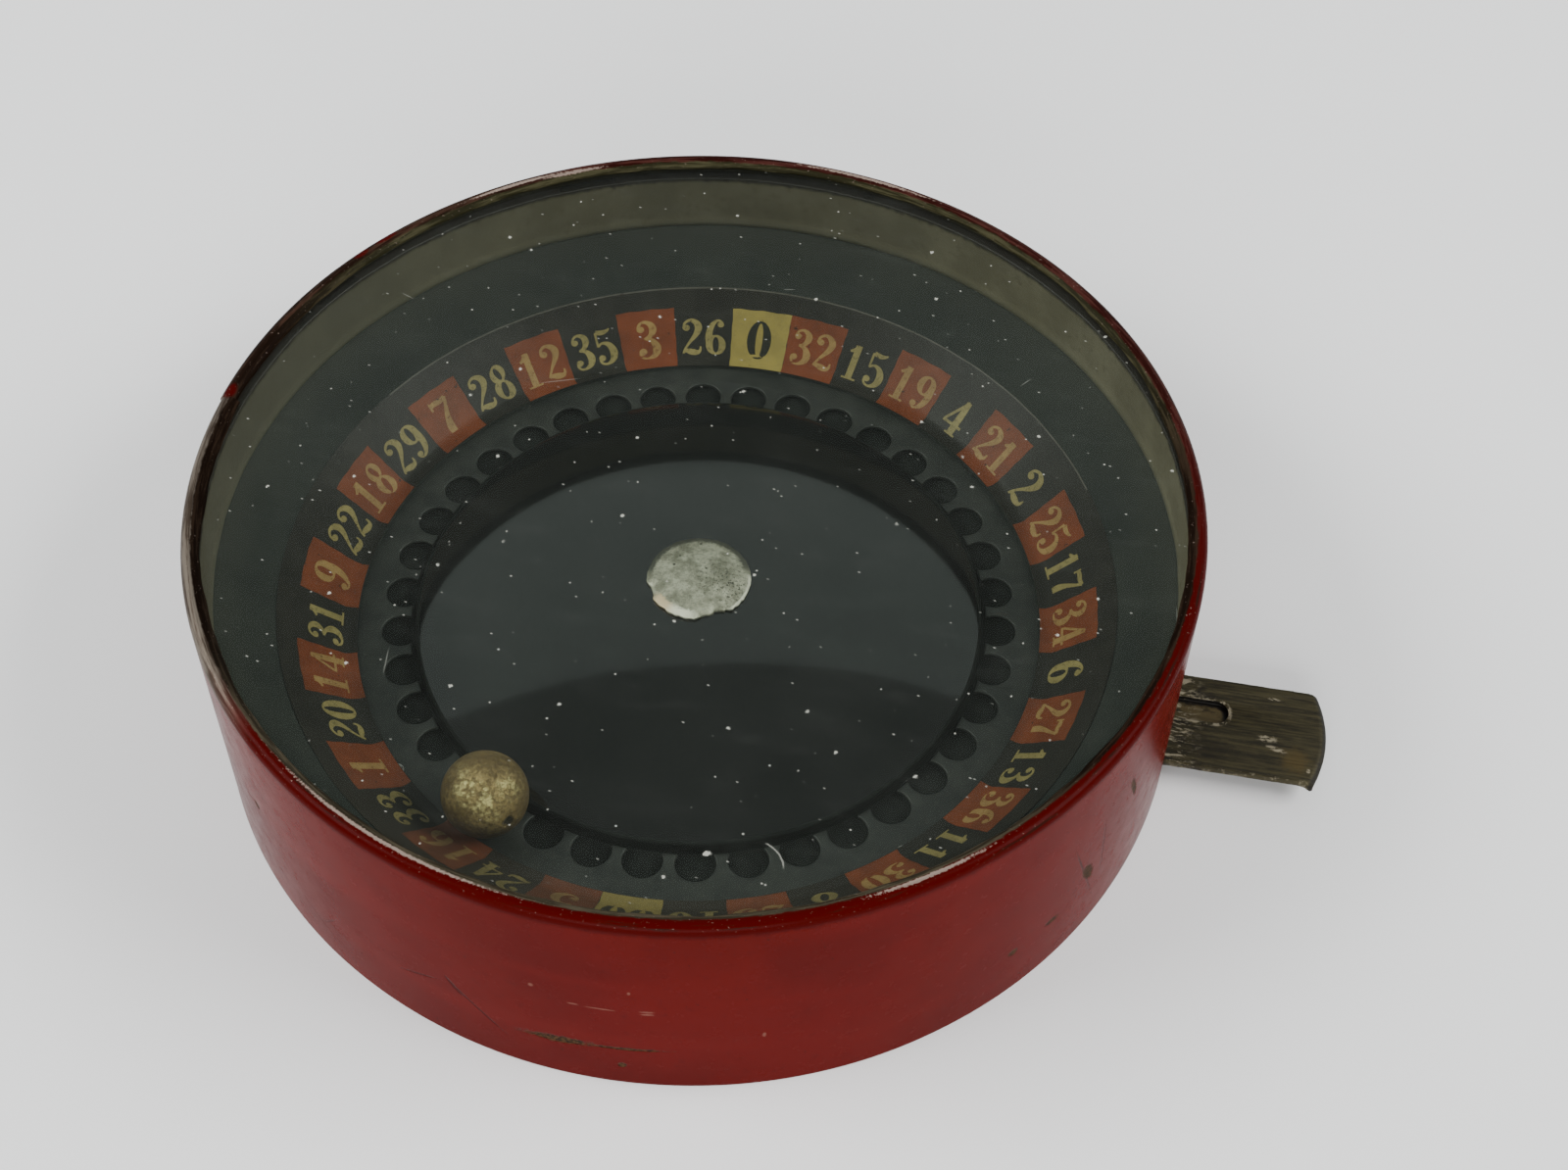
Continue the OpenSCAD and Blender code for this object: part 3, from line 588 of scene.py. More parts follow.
def tab_steel():
    """Brown patinated strip steel, its grain lengthwise, bright by the wall and round the groove, with a
    painted shadow in the groove, a painted highlight on its near edge and painted shade by the wall.
    """
    s = Shader("tab_steel")
    x, y, _ = s.xyz()
    grain = s.noise(2.4, 5, 0.68, s.scaled(s.point, (0.1, 1.5, 1)))
    close = s.noise(5.0, 4, 0.7, s.scaled(s.point, (0.22, 1.6, 1)))
    fine = s.noise(2.0, 6, 0.7)
    colour = s.mix(s.span(grain, 0.34, 0.66), (0.011, 0.009, 0.0035), (0.042, 0.035, 0.014))
    colour = s.mix(s.span(close, 0.5, 0.72) * 0.5, colour, (0.056, 0.047, 0.02))
    rag = (fine - 0.5) * 1.8
    # bright wear specks by the wall, burred edges, and a painted shadow inside the groove along its upper
    # edge and outer end
    near = s.span(x + s.noise(0.9, 3) * 2.4, 44.0, 42.0)
    fleck = s.span(s.noise(1.1, 6, 0.78, s.scaled(s.point, (0.5, 1.5, 1)), 0.6), 0.53, 0.58) * near
    dx = s.math("MINIMUM", GROOVE_OUT - x, 0.0)
    dy = y - GROOVE_Y
    ring = s.length(dx, dy)
    rim = ring + (fine - 0.5) * 0.5
    burr = s.span(rim, GROOVE_R + 0.42, GROOVE_R + 0.2) * s.span(ring, GROOVE_R, GROOVE_R + 0.06)
    burr = burr * s.span(s.noise(1.9, 5, 0.75), 0.47, 0.56)
    # painted shadow inside the groove along its upper edge and outer end
    corner = s.span(rim, GROOVE_R - 0.55, GROOVE_R - 0.25) * s.span(ring, GROOVE_R + 0.06, GROOVE_R)
    corner = corner * s.span(dy + dx * -0.8, -0.3, 0.6)
    patch = s.blots(x, y, (47.9, -0.8, 0.75, 0.34, 0.0, rag), (48.7, -1.7, 0.8, 0.22, -0.3, rag),
                    (48.3, 3.4, 0.5, 0.12, 0.0, rag), (51.4, -3.4, 0.16, 0.22))
    patch = patch * s.span(s.noise(2.4, 4, 0.7, s.scaled(s.point, (0.7, 1.8, 1))), 0.46, 0.54)
    # painted highlight: the near edge of the strip made lighter
    edge = s.span(y + fine * 0.8, -3.9, -4.25) * s.span(s.noise(1.6, 4, 0.7), 0.5, 0.62)
    light = s.most(fleck, burr * 0.9, patch, edge * 0.55)
    colour = s.mix(s.span(ring, GROOVE_R, GROOVE_R - 0.2) * 0.6, colour, (0.075, 0.055, 0.022))
    colour = s.mix(corner, colour, (0.003, 0.0022, 0.0012))
    colour = s.mix(light * 0.85, colour, (0.25, 0.22, 0.15))
    # painted shade: darker next to the case wall and in a patch by it
    wall_shade = s.most(s.span(s.noise(1.3, 4, 0.7, s.scaled(s.point, (0.5, 1.5, 1))), 0.5, 0.6)
                   * s.span(x, 45.0, 42.0), s.blot(x, y, 43.3, -2.6, 2.2, 0.9, 0.0, rag, 0.6) * 0.8)
    colour = s.mix(wall_shade * (1.0 - light) * 0.75, colour, (0.005, 0.0035, 0.0015))
    ex = x - END_X
    tip = s.length(ex, y)
    tip = s.span(tip, END_R - 0.45, END_R - 0.2) * s.span(x, 50.8, 51.2)
    colour = s.mix(tip * 0.8, colour, (0.007, 0.0055, 0.003))
    stain = s.blot(x, y, 50.3, -2.6, 1.0, 1.1, 0.0, rag, 0.6)
    colour = s.mix(stain * 0.5, colour, (0.07, 0.045, 0.01))
    s.set(Base_Color=colour, Metallic=0.35, Roughness=close * 0.3 + 0.38,
          Normal=s.bump(grain + light * 0.5, 0.05), Specular_IOR_Level=0.25)
    return s.mat


def brown_card():
    s = Shader("brown_card")
    fibre = s.noise(3.0, 6, 0.7, s.scaled(s.point, (1, 1, 2.5)))
    colour = s.mix(s.span(fibre, 0.35, 0.65), (0.2, 0.15, 0.09), (0.33, 0.26, 0.16))
    colour = s.mix(s.span(s.noise(0.4, 4), 0.5, 0.7) * 0.5, colour, (0.14, 0.1, 0.06))
    s.set(Base_Color=colour, Roughness=0.85, Normal=s.bump(fibre, 0.05))
    return s.mat


STEEL = aged_metal("inner_steel", (0.42, 0.41, 0.38), (0.2, 0.19, 0.17), (0.14, 0.075, 0.035),
                   grain=(0.4, 2, 2))
BRASS = aged_metal("inner_brass", (0.6, 0.46, 0.2), (0.36, 0.26, 0.1), (0.14, 0.1, 0.04), grain=(2, 2, 0.4))
TIN = aged_metal("plain_tin", (0.5, 0.49, 0.46), (0.27, 0.26, 0.24), (0.13, 0.075, 0.04), 0.4,
                 (0.25, 2.5, 1), 0.18, 0.56)


# ---------------------------------------------------------------- meshes

def fill(verts, faces, loops):
    """Flat faces inside the first loop of point numbers and outside the others."""
    order = [i for loop_of in loops for i in loop_of]
    tris = tessellate_polygon([[Vector((verts[i][0], verts[i][1], 0)) for i in loop_of]
                               for loop_of in loops])
    faces.extend(tuple(order[i] for i in t) for t in tris)


def piece(name, verts, faces, mats, body, replaces=(),
          which=None, sharp=38, weld=False, turn_out=False):
    """A mesh object from millimetre points, riding on a body."""
    mesh = bpy.data.meshes.new(name)
    mesh.from_pydata([tuple(c * MM for c in v) for v in verts], [], faces)
    for m in mats if isinstance(mats, (list, tuple)) else [mats]:
        mesh.materials.append(m)
    if which is not None:
        mesh.polygons.foreach_set("material_index", which)
    if weld or turn_out:
        bm = bmesh.new()
        bm.from_mesh(mesh)
        if weld:
            bmesh.ops.remove_doubles(bm, verts=bm.verts, dist=1e-7)
        if turn_out:
            bmesh.ops.recalc_face_normals(bm, faces=bm.faces)
        bm.to_mesh(mesh)
        bm.free()
    mesh.polygons.foreach_set("use_smooth", [True] * len(mesh.polygons))
    mesh.update()
    mesh.set_sharp_from_angle(angle=math.radians(sharp))
    ob = bpy.data.objects.new(name, mesh)
    bpy.context.scene.collection.objects.link(ob)
    if body:
        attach(ob, body)
    if replaces:
        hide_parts(*replaces)
    return ob


def turns(n, extra=()):
    """n even angles round the axis, with some more between them, in radians."""
    even = {round(2 * math.pi * i / n - math.pi, 9) for i in range(n)}
    return sorted(even | {round(a, 9) for a in extra})


def lathe(profile, angles, warp=None):
    """A closed profile of (r, z), outer side going up, swept round the axis."""
    m, n = len(profile), len(angles)
    verts = []
    for a in angles:
        for k, (r, z) in enumerate(profile):
            if warp:
                r, z = warp(r, z, a, k)
            verts.append((*polar(r, a), z))
    faces = [(i * m + k, (i + 1) % n * m + k, (i + 1) % n * m + (k + 1) % m, i * m + (k + 1) % m)
             for i in range(n) for k in range(m)]
    return verts, faces


def polar(radius, angle, x=0.0, y=0.0):
    """A point at a distance and an angle from (x, y)."""
    return x + radius * math.cos(angle), y + radius * math.sin(angle)


def rough(a, scale, seed, r=1.0):
    """Smooth noise round the axis, about -1 to 1."""
    return 2 * noise.noise(Vector((math.cos(a) * scale * r, math.sin(a) * scale * r, seed)))


def arc(cx, cz, radius, a0, a1, n):
    return [polar(radius, math.radians(a0 + (a1 - a0) * i / n), cx, cz) for i in range(n + 1)]


SLOT_HALF, SLOT_Z0, SLOT_Z1 = 4.75, 1.65, 2.55
SEAM = math.radians(176.5)
BARE_END = math.radians(222)


def case_shell():
    outer_r, inner_r = CASE_R - 0.03, WALL_IN + 0.02
    outside = [(inner_r + 0.12, 0.0), (outer_r - 0.1, 0.0), (outer_r, 0.1)]
    outside += [(outer_r, z) for z in (0.6, 1.1, SLOT_Z0, SLOT_Z1, 3.2, 4.5, 6, 8, 10, 12, 14, 16, 18, 19.5,
                                       20.6, 21.2)]
    outside += arc(outer_r - 0.8, CASE_H - 0.8, 0.8, 0, 90, 9)
    lip = [(38.95, 22.44), (38.72, 22.33), (38.55, 22.2), (38.46, 22.06), (38.45, 21.94), (38.52, 21.86),
           (38.7, 21.84)]
    inside = arc(inner_r - 0.45, 21.55, 0.45, 80, 0, 5)
    inside += [(inner_r, z) for z in (20.6, 18, 14, 10, 6, SLOT_Z1, SLOT_Z0, 0.8, 0.12)]
    profile = outside + lip + inside
    lip_first, lip_last = len(outside), len(outside) + len(lip) - 1
    half = math.asin(SLOT_HALF / CASE_R)
    angles = turns(400, [-half, half] + [SEAM + math.radians(d) for d in (-0.12, -0.02, 0.05, 0.15, 0.4)])
    angles = [a for a in angles if not 0 < abs(abs(a) - half) < 0.004]

    def warp(r, z, a, k):
        full = a if a > 0 else a + 2 * math.pi
        past = (full - SEAM) / (BARE_END - SEAM)
        under = 1 - past if 0 <= past <= 1 else 0.0
        dent = 0.022 * rough(a, 1.3, 3.1) + 0.012 * rough(a, 4.0, z * 0.12)
        r += dent - 0.03
        if r > 38.9:
            r -= 0.13 * under * min(1.0, max(0.0, z / 2))
        if lip_first <= k <= lip_last:
            deep = 1 - abs(k - (lip_first + 4)) / 5
            r += deep * (0.09 * rough(a, 7.0, 1.0) + 0.05 * rough(a, 23.0, 5.0) - 0.32 * under)
            z += deep * (0.03 * rough(a, 9.0, 8.0) + 0.05 * under)
        return r, min(z, CASE_H)

    verts, faces = lathe(profile, angles, warp)
    m, n = len(profile), len(angles)
    rows = [k for k, p in enumerate(profile[:-1]) if p[1] == SLOT_Z0 and profile[k + 1][1] == SLOT_Z1
            or p[1] == SLOT_Z1 and profile[k + 1][1] == SLOT_Z0]
    out_row, in_row = rows
    cols = [i for i in range(n) if -half - 1e-6 <= angles[i] and angles[(i + 1) % n] <= half + 1e-6
            and abs(angles[i]) < 1]
    gone = {(i, k) for i in cols for k in rows}
    kept = [f for j, f in enumerate(faces) if (j // m, j % m) not in gone]
    for i in cols:
        j = (i + 1) % n
        o0, o1, p0, p1 = i * m + out_row, i * m + out_row + 1, j * m + out_row, j * m + out_row + 1
        q1, q0, s1, s0 = i * m + in_row, i * m + in_row + 1, j * m + in_row, j * m + in_row + 1
        kept += [(o0, q0, s0, p0), (o1, p1, s1, q1)]
    for i, flip in ((cols[0], False), ((cols[-1] + 1) % n, True)):
        loop = (i * m + out_row, i * m + out_row + 1, i * m + in_row, i * m + in_row + 1)
        kept.append(loop[::-1] if flip else loop)
    return piece("case_shell", verts, kept, lacquered_tin(), "case", ["case_band"])


def base_plate():
    """The bottom with its upturned rim and a pressed bead for stiffness."""
    bead = [(23.2, 0.0), (22.9, 0.04), (22.6, 0.2), (22.3, 0.26), (19.9, 0.26), (19.6, 0.2), (19.3, 0.04),
            (19.0, 0.0)]
    profile = [(0.0, 0.35), (18.9, 0.35), (19.25, 0.4), (19.6, 0.58), (22.6, 0.58), (22.95, 0.4),
               (23.3, 0.35)]
    profile += [(39.0, 0.35), (39.15, 0.42), (39.2, 0.55), (39.2, 1.15), (39.3, 1.2), (39.45, 1.2),
                (39.53, 1.12), (39.53, 0.3), (39.44, 0.08), (39.2, 0.0), (33.0, 0.0)]
    profile += bead + [(10.0, 0.0), (0.0, 0.0)]
    verts, faces = lathe(profile[::-1], turns(240), lambda r, z, a, k: (r, max(0.0, z)))
    return piece("base_plate", verts, faces, TIN, "case", ["base_pan"], weld=True)


def pane():
    e = 0.12
    profile = [(0, GLASS_LOW), (20, GLASS_LOW), (FILL_R - e, GLASS_LOW), (FILL_R, GLASS_LOW + e),
               (FILL_R, GLASS_TOP - e), (FILL_R - e, GLASS_TOP), (20, GLASS_TOP), (0, GLASS_TOP)]
    verts, faces = lathe(profile, turns(240))
    return piece("glass_disc", verts, faces, pane_glass(), "case", ["glass_pane"], weld=True,
                 sharp=20)


def wall_hoop():
    def warp(r, z, a, k):
        return r + 0.05 * rough(a, 3.0, 2.0) + 0.03 * rough(a, 14.0, z * 0.2) if k >= 2 else r, z
    profile = [(FILL_R, DISH_Z), (FILL_R, GLASS_LOW), (DISH_R + 0.12, GLASS_LOW),
               (DISH_R + 0.05, GLASS_LOW - 0.08)]
    profile += [(DISH_R + 0.05, z) for z in (19.6, 18.6, 17.6, 16.8)]
    profile += [(DISH_R + 0.08, 16.2), (DISH_R + 0.03, 15.75), (DISH_R - 0.02, 15.4),
                (DISH_R - 0.02, 15.08), (DISH_R + 0.04, DISH_Z)]
    verts, faces = lathe(profile, turns(240), warp)
    return piece("wall_hoop", verts, faces, olive_hoop(), "case", ["spacer_hoop"])


def dish_at(r):
    """Height of the dish's face, with a soft bend where foot and slope meet."""
    straight = FOOT_Z + max(0.0, r - FOOT_OUT) * SLOPE
    t = max(0.0, 1 - abs(r - FOOT_OUT) / 0.6)
    return straight + 0.075 * t * t


def dish_body():
    rs = [FOOT_IN, FOOT_IN + 0.3, FOOT_OUT - 0.6, FOOT_OUT - 0.3, FOOT_OUT, FOOT_OUT + 0.3,
          FOOT_OUT + 0.6] + list(np.linspace(FOOT_OUT + 1.4, DISH_R - 0.5, 12))
    top = [(r, dish_at(r)) for r in rs] + [(DISH_R - 0.15, DISH_Z - 0.16), (DISH_R + 0.05, DISH_Z - 0.04),
                                           (DISH_R + 0.3, DISH_Z), (FILL_R, DISH_Z)]
    under = [(r, z - 0.3) for r, z in top]
    under[0] = (FOOT_IN, FOOT_Z - 0.3)
    profile = under + top[::-1]

    def uneven(r, z, a, k):
        return r, z + (0.03 * rough(a, 2.0, r * 0.15) if 30 < r < 38 else 0.0)
    verts, faces = lathe(profile, turns(300), uneven)
    return piece("dish_body", verts, faces, dish_enamel(), "case", ["number_dish"])


# ---------------------------------------------------------------- numbers

THICK, THIN = 0.082, 0.028


def loop(cx, cy, rx, ry, thick=THICK, thin=THIN, lean=0.0, n=28):
    """A closed stroke round an ellipse, thick at its sides."""
    pts = []
    for i in range(n + 1):
        a = 2 * math.pi * i / n
        w = thin + (thick - thin) * abs(math.cos(a - lean)) ** 1.4
        pts.append((cx + rx * math.cos(a), cy + ry * math.sin(a), w))
    return pts


def curve(*points, n=7):
    """A smooth stroke through (x, y, half width) points."""
    p = [points[0]] + list(points) + [points[-1]]
    out = []
    for i in range(1, len(p) - 2):
        for k in range(n):
            t = k / n
            out.append(tuple(0.5 * (2 * p[i][c] + (p[i + 1][c] - p[i - 1][c]) * t
                                    + (2 * p[i - 1][c] - 5 * p[i][c] + 4 * p[i + 1][c] - p[i + 2][c]) * t
                                    * t + (3 * p[i][c] - p[i - 1][c] - 3 * p[i + 1][c] + p[i + 2][c])
                                    * t ** 3) for c in range(3)))
    return out + [tuple(points[-1])]


SIX = [loop(0.265, 0.285, 0.155, 0.245), curve((0.115, 0.3, 0.08), (0.1, 0.52, 0.082), (0.15, 0.76, 0.07),
                                               (0.26, 0.925, 0.042), (0.36, 0.955, 0.028),
                                               (0.43, 0.88, 0.028))]
# Each digit is strokes of (x, y, half width) and end discs of (x, y, radius), in a box 0.5 wide and 1 high
GLYPHS = {"0": ([loop(0.25, 0.5, 0.165, 0.465, 0.092)], []),
          "1": ([[(0.27, 0.02, 0.08), (0.27, 0.5, 0.08), (0.27, 0.97, 0.08)],
                 curve((0.3, 0.955, 0.05), (0.2, 0.83, 0.05), (0.1, 0.765, 0.03)),
                 [(0.1, 0.028, 0.028), (0.45, 0.028, 0.028)]], []),
          "2": ([curve((0.055, 0.74, 0.03), (0.09, 0.89, 0.033), (0.22, 0.965, 0.042), (0.36, 0.89, 0.075),
                       (0.41, 0.75, 0.085), (0.35, 0.57, 0.065), (0.2, 0.35, 0.035), (0.09, 0.16, 0.026),
                       (0.06, 0.05, 0.026)), curve((0.07, 0.1, 0.026), (0.15, 0.125, 0.06),
                                                   (0.27, 0.085, 0.085), (0.38, 0.075, 0.07),
                                                   (0.45, 0.13, 0.035), (0.465, 0.24, 0.02))],
                [(0.125, 0.755, 0.085)]), "3": ([curve((0.06, 0.8, 0.028), (0.11, 0.92, 0.03),
                                                       (0.22, 0.968, 0.038), (0.345, 0.89, 0.068),
                                                       (0.38, 0.75, 0.078), (0.31, 0.6, 0.052),
                                                       (0.18, 0.54, 0.024)),
                                                 curve((0.18, 0.54, 0.024), (0.33, 0.49, 0.052),
                                                       (0.42, 0.32, 0.088), (0.39, 0.14, 0.075),
                                                       (0.25, 0.032, 0.038), (0.12, 0.055, 0.03),
                                                       (0.055, 0.18, 0.028))],
                                                [(0.12, 0.785, 0.08), (0.125, 0.215, 0.085)]),
          "4": ([[(0.34, 0.03, 0.078), (0.34, 0.5, 0.078), (0.34, 0.95, 0.06)],
                 [(0.35, 0.96, 0.034), (0.06, 0.31, 0.03)], [(0.03, 0.275, 0.036), (0.5, 0.275, 0.036)],
                 [(0.21, 0.028, 0.028), (0.47, 0.028, 0.028)]], []),
          "5": ([curve((0.1, 0.93, 0.06), (0.24, 0.9, 0.065), (0.37, 0.93, 0.04), (0.44, 0.985, 0.015)),
                 [(0.085, 0.93, 0.028), (0.085, 0.53, 0.026)],
                 curve((0.085, 0.53, 0.026), (0.19, 0.61, 0.034), (0.34, 0.55, 0.066), (0.42, 0.36, 0.09),
                       (0.38, 0.15, 0.075), (0.24, 0.032, 0.038), (0.11, 0.06, 0.03),
                       (0.055, 0.17, 0.028))], [(0.12, 0.21, 0.085)]), "6": (SIX, [(0.385, 0.845, 0.078)]),
          "7": ([curve((0.06, 0.88, 0.045), (0.17, 0.905, 0.068), (0.31, 0.885, 0.06), (0.45, 0.93, 0.045)),
                 [(0.055, 0.98, 0.02), (0.055, 0.76, 0.028)],
                 curve((0.45, 0.93, 0.035), (0.37, 0.72, 0.04), (0.27, 0.48, 0.06), (0.21, 0.25, 0.085),
                       (0.205, 0.06, 0.08))], []),
          "8": ([loop(0.25, 0.745, 0.13, 0.215, 0.07, 0.026, 0.5),
                 loop(0.25, 0.285, 0.155, 0.25, 0.082, 0.028, -0.4)], []),}
GLYPHS["9"] = ([[(0.52 - x, 1 - y, w) for x, y, w in stroke] for stroke in SIX], [(0.135, 0.155, 0.078)])

ORDER = "0 32 15 19 4 21 2 25 17 34 6 27 13 36 11 30 8 23 10 00".split()
ORDER += "5 24 16 33 1 20 14 31 9 22 18 29 7 28 12 35 3 26".split()
RED = set("32 19 21 25 34 27 36 30 23 5 16 1 14 9 18 7 12 3".split())
PRINT_H, PRINT_BASE = 3.3, 1.2
PAPER, RED_CELL, CREAM_CELL, CREAM_DIGIT, BLACK_DIGIT, PAPER_EDGE, RED_DIGIT = range(7)
GLYPH_W, GLYPH_GAP = 3.85, 0.14
FLAT = FOOT_OUT - FOOT_IN
CELL_MID = 30.5
CELL_LEN = FLAT + (CELL_R - FOOT_OUT) * math.hypot(1, SLOPE)


def radius_at(s):
    """The radius of a point s millimetres up the dish from its inner edge."""
    return FOOT_IN + s if s < FLAT else FOOT_OUT + (s - FLAT) / math.hypot(1, SLOPE)


def on_slope(u, s, azimuth, lift):
    """A point u millimetres to the right and s up the dish, as a label at azimuth is read."""
    r = radius_at(s)
    tilt = 0.0 if s < FLAT else math.atan(SLOPE)
    z = dish_at(r) + 0.1 + lift * math.cos(tilt)
    r -= lift * math.sin(tilt)
    a = azimuth - u / r
    return (*polar(r, a), z)


class Print:
    """Faces printed on the band, a hair above it, gathered with their materials."""

    def __init__(self):
        self.verts, self.faces, self.which = [], [], []

    def add(self, points, faces, material):
        base = len(self.verts)
        self.verts += points
        self.faces += [tuple(base + i for i in f) for f in faces]
        self.which += [material] * len(faces)

    def stroke(self, pts, place, material, lift):
        left, right = [], []
        for i, (x, y, w) in enumerate(pts):
            x0, y0, _ = pts[max(0, i - 1)]
            x1, y1, _ = pts[min(len(pts) - 1, i + 1)]
            d = math.hypot(x1 - x0, y1 - y0) or 1.0
            nx, ny = -(y1 - y0) / d, (x1 - x0) / d
            left.append((x + nx * w, y + ny * w))
            right.append((x - nx * w, y - ny * w))
        n = len(pts)
        self.add([place(*p, lift) for p in left + right],
                 [(n + i, n + i + 1, i + 1, i) for i in range(n - 1)], material)

    def disc(self, cx, cy, radius, place, material, lift, sides=14):
        rim = [polar(radius, 2 * math.pi * i / sides, cx, cy) for i in range(sides)]
        self.add([place(*p, lift) for p in rim], [tuple(range(sides))], material)


def number_print():
    """The paper band with its coloured cells and its numbers."""
    ink = Print()
    # the paper: a thin lathe over the dish
    rs = [FOOT_IN, FOOT_IN + 0.3, FOOT_OUT - 0.6, FOOT_OUT - 0.3, FOOT_OUT, FOOT_OUT + 0.3,
          FOOT_OUT + 0.6] + list(np.linspace(FOOT_OUT + 1.2, BAND_R - 0.11, 9)) + [BAND_R]
    top = [(r, dish_at(r) + 0.1) for r in rs]
    profile = [(r, z - 0.09) for r, z in top] + top[::-1]

    def warp(r, z, a, k):
        if r > BAND_R - 0.5:
            r += 0.04 * rough(a, 3.0, 4.0) + 0.02 * rough(a, 20.0, 6.0)
        return r, z
    angles = turns(304)
    verts, faces = lathe(profile, angles, warp)
    m = len(profile)
    edge_row = len(top) - 1
    ink.add(verts, faces, PAPER)
    # the paper's edge row gets the lighter edge colour, partly its cut edge and partly a painted highlight;
    # at the back a second row gets it too, a painted highlight along the far edge
    for f in range(len(faces)):
        back_highlight = math.sin(angles[f // m]) > 0.45
        if f % m == edge_row or (f % m == edge_row + 1 and back_highlight):
            ink.which[f] = PAPER_EDGE

    for i, label in enumerate(ORDER):
        azimuth = PHASE - i * PITCH
        jitter = [0.09 * noise.noise(Vector((i * 1.7, k * 2.3, 0.5))) for k in range(6)]
        if label in RED or label in ("0", "00"):
            half = PITCH / 2 * CELL_MID - (0.0 if label == "0" else 0.03)
            grid, cols, rows = [], 8, 10
            for b in range(rows + 1):
                for c in range(cols + 1):
                    s = CELL_LEN * b / rows + (jitter[0] + 0.04 * math.sin(c * 1.9 + i)) * (b == rows)
                    side = half * radius_at(s) / CELL_MID + jitter[1] * 0.5
                    side += 0.03 * math.sin(b * 2.1 + i) * (c in (0, cols))
                    u = (c / cols * 2 - 1) * side
                    grid.append(on_slope(u, max(0.03, s), azimuth, 0.006))
            w = cols + 1
            ink.add(grid, [(b * w + c, b * w + c + w, b * w + c + w + 1, b * w + c + 1)
                           for b in range(rows) for c in range(cols)],
                    RED_CELL if label in RED else CREAM_CELL)
        material = BLACK_DIGIT if label in ("0", "00") else RED_DIGIT if label in RED else CREAM_DIGIT
        size = 1.12 if len(label) == 1 else 1.0
        tall = PRINT_H * (1.08 if len(label) == 1 else 1.0)
        width = GLYPH_W * 0.52 * size
        total = width * len(label) + GLYPH_GAP * (len(label) - 1)
        lean = 0.6 * jitter[2]
        for k, digit in enumerate(label):
            strokes, discs = GLYPHS[digit]
            left = -total / 2 + k * (width + GLYPH_GAP)
            if digit == "1" and len(label) > 1:
                left -= 0.1

            def place(x, y, lift, left=left):
                u = left + x * GLYPH_W * size + jitter[3]
                s = PRINT_BASE - (tall - PRINT_H) / 2 + y * tall + jitter[4] + 0.05 * u * lean
                return on_slope(u, s, azimuth, lift)
            for j, stroke in enumerate(strokes):
                ink.stroke(stroke, place, material, 0.012 + 0.0015 * j)
            for j, (cx, cy, radius) in enumerate(discs):
                ink.disc(cx, cy, radius, place, material, 0.018 + 0.0015 * j)
    inks = [print_ink("print_black", (0.022, 0.021, 0.017), (0.015, 0.0145, 0.012), (0.036, 0.033, 0.026)),
            print_ink("print_red", (0.165, 0.043, 0.016), (0.115, 0.031, 0.012), (0.075, 0.035, 0.018)),
            print_ink("print_cream", (0.28, 0.22, 0.06), (0.21, 0.168, 0.048), (0.12, 0.1, 0.04)),
            print_ink("digit_cream", (0.25, 0.208, 0.08), (0.175, 0.145, 0.055), (0.075, 0.064, 0.03),
                      0.57), print_ink("digit_black", (0.02, 0.021, 0.014), (0.014, 0.015, 0.01),
                                       (0.06, 0.054, 0.025)),
            print_ink("paper_edge", (0.085, 0.08, 0.068), (0.055, 0.052, 0.042), (0.03, 0.028, 0.023)),
            print_ink("digit_on_red", (0.29, 0.185, 0.068), (0.21, 0.125, 0.046), (0.11, 0.04, 0.018),
                      0.58),]
    return piece("number_paper", ink.verts, ink.faces, inks, "case", ["number_band"],
                 which=ink.which)


# ---------------------------------------------------------------- pocket ring, rotor, ball

def pocket_plate():
    """The toothed ring: round pockets that open towards the axis, flared teeth between them, eased edges."""
    centre = ROOT_R - HOLE_R
    gape = math.acos((TIP_R ** 2 - centre ** 2 - HOLE_R ** 2) / (2 * centre * HOLE_R))
    corner = math.atan2(HOLE_R * math.sin(gape), centre + HOLE_R * math.cos(gape))
    one = [polar(TIP_R, a) for a in np.linspace(-PITCH / 2, -corner - 0.0035, 4)]
    one += [polar(HOLE_R, a, centre) for a in np.linspace(-gape + 0.05, gape - 0.05, 25)]
    one += [polar(TIP_R, a) for a in np.linspace(corner + 0.0035, PITCH / 2, 4)[:-1]]
    outline = []
    for k in range(POCKETS):
        c, d = math.cos(PHASE + k * PITCH), math.sin(PHASE + k * PITCH)
        outline += [(x * c - y * d, x * d + y * c) for x, y in one]
    n, rim = len(outline), 152
    low, high = RING_TOP - 0.3, RING_TOP
    verts, faces = [], []
    for by, z in ((0.1, high), (0.03, high - 0.02), (0.0, high - 0.07), (0.0, low + 0.04), (0.05, low)):
        verts += [(q[0], q[1], z) for q in inset(outline, [-by] * n)]
    faces += [(k * n + i, k * n + (i + 1) % n, (k + 1) * n + (i + 1) % n, (k + 1) * n + i)
              for k in range(4) for i in range(n)]
    for radius, z in ((27.4, high), (29.95, high), (30.0, high - 0.05), (30.0, low)):
        verts += [(*polar(radius, 2 * math.pi * i / rim), z) for i in range(rim)]
    first = 5 * n
    faces += [(first + k * rim + i, first + k * rim + (i + 1) % rim, first + (k + 1) * rim + (i + 1) % rim,
               first + (k + 1) * rim + i) for k in range(3) for i in range(rim)]
    fill(verts, faces, [list(range(first, first + rim)), list(range(n))])
    fill(verts, faces, [list(range(first + 3 * rim, first + 4 * rim)), list(range(4 * n, 5 * n))])
    return piece("pocket_plate", verts, faces, pocket_tin(), "case", ["pocket_ring"],
                 sharp=50, turn_out=True)


def dome_at(r, sphere=DOME_R):
    return DOME_Z - DOME_R + math.sqrt(sphere * sphere - r * r)


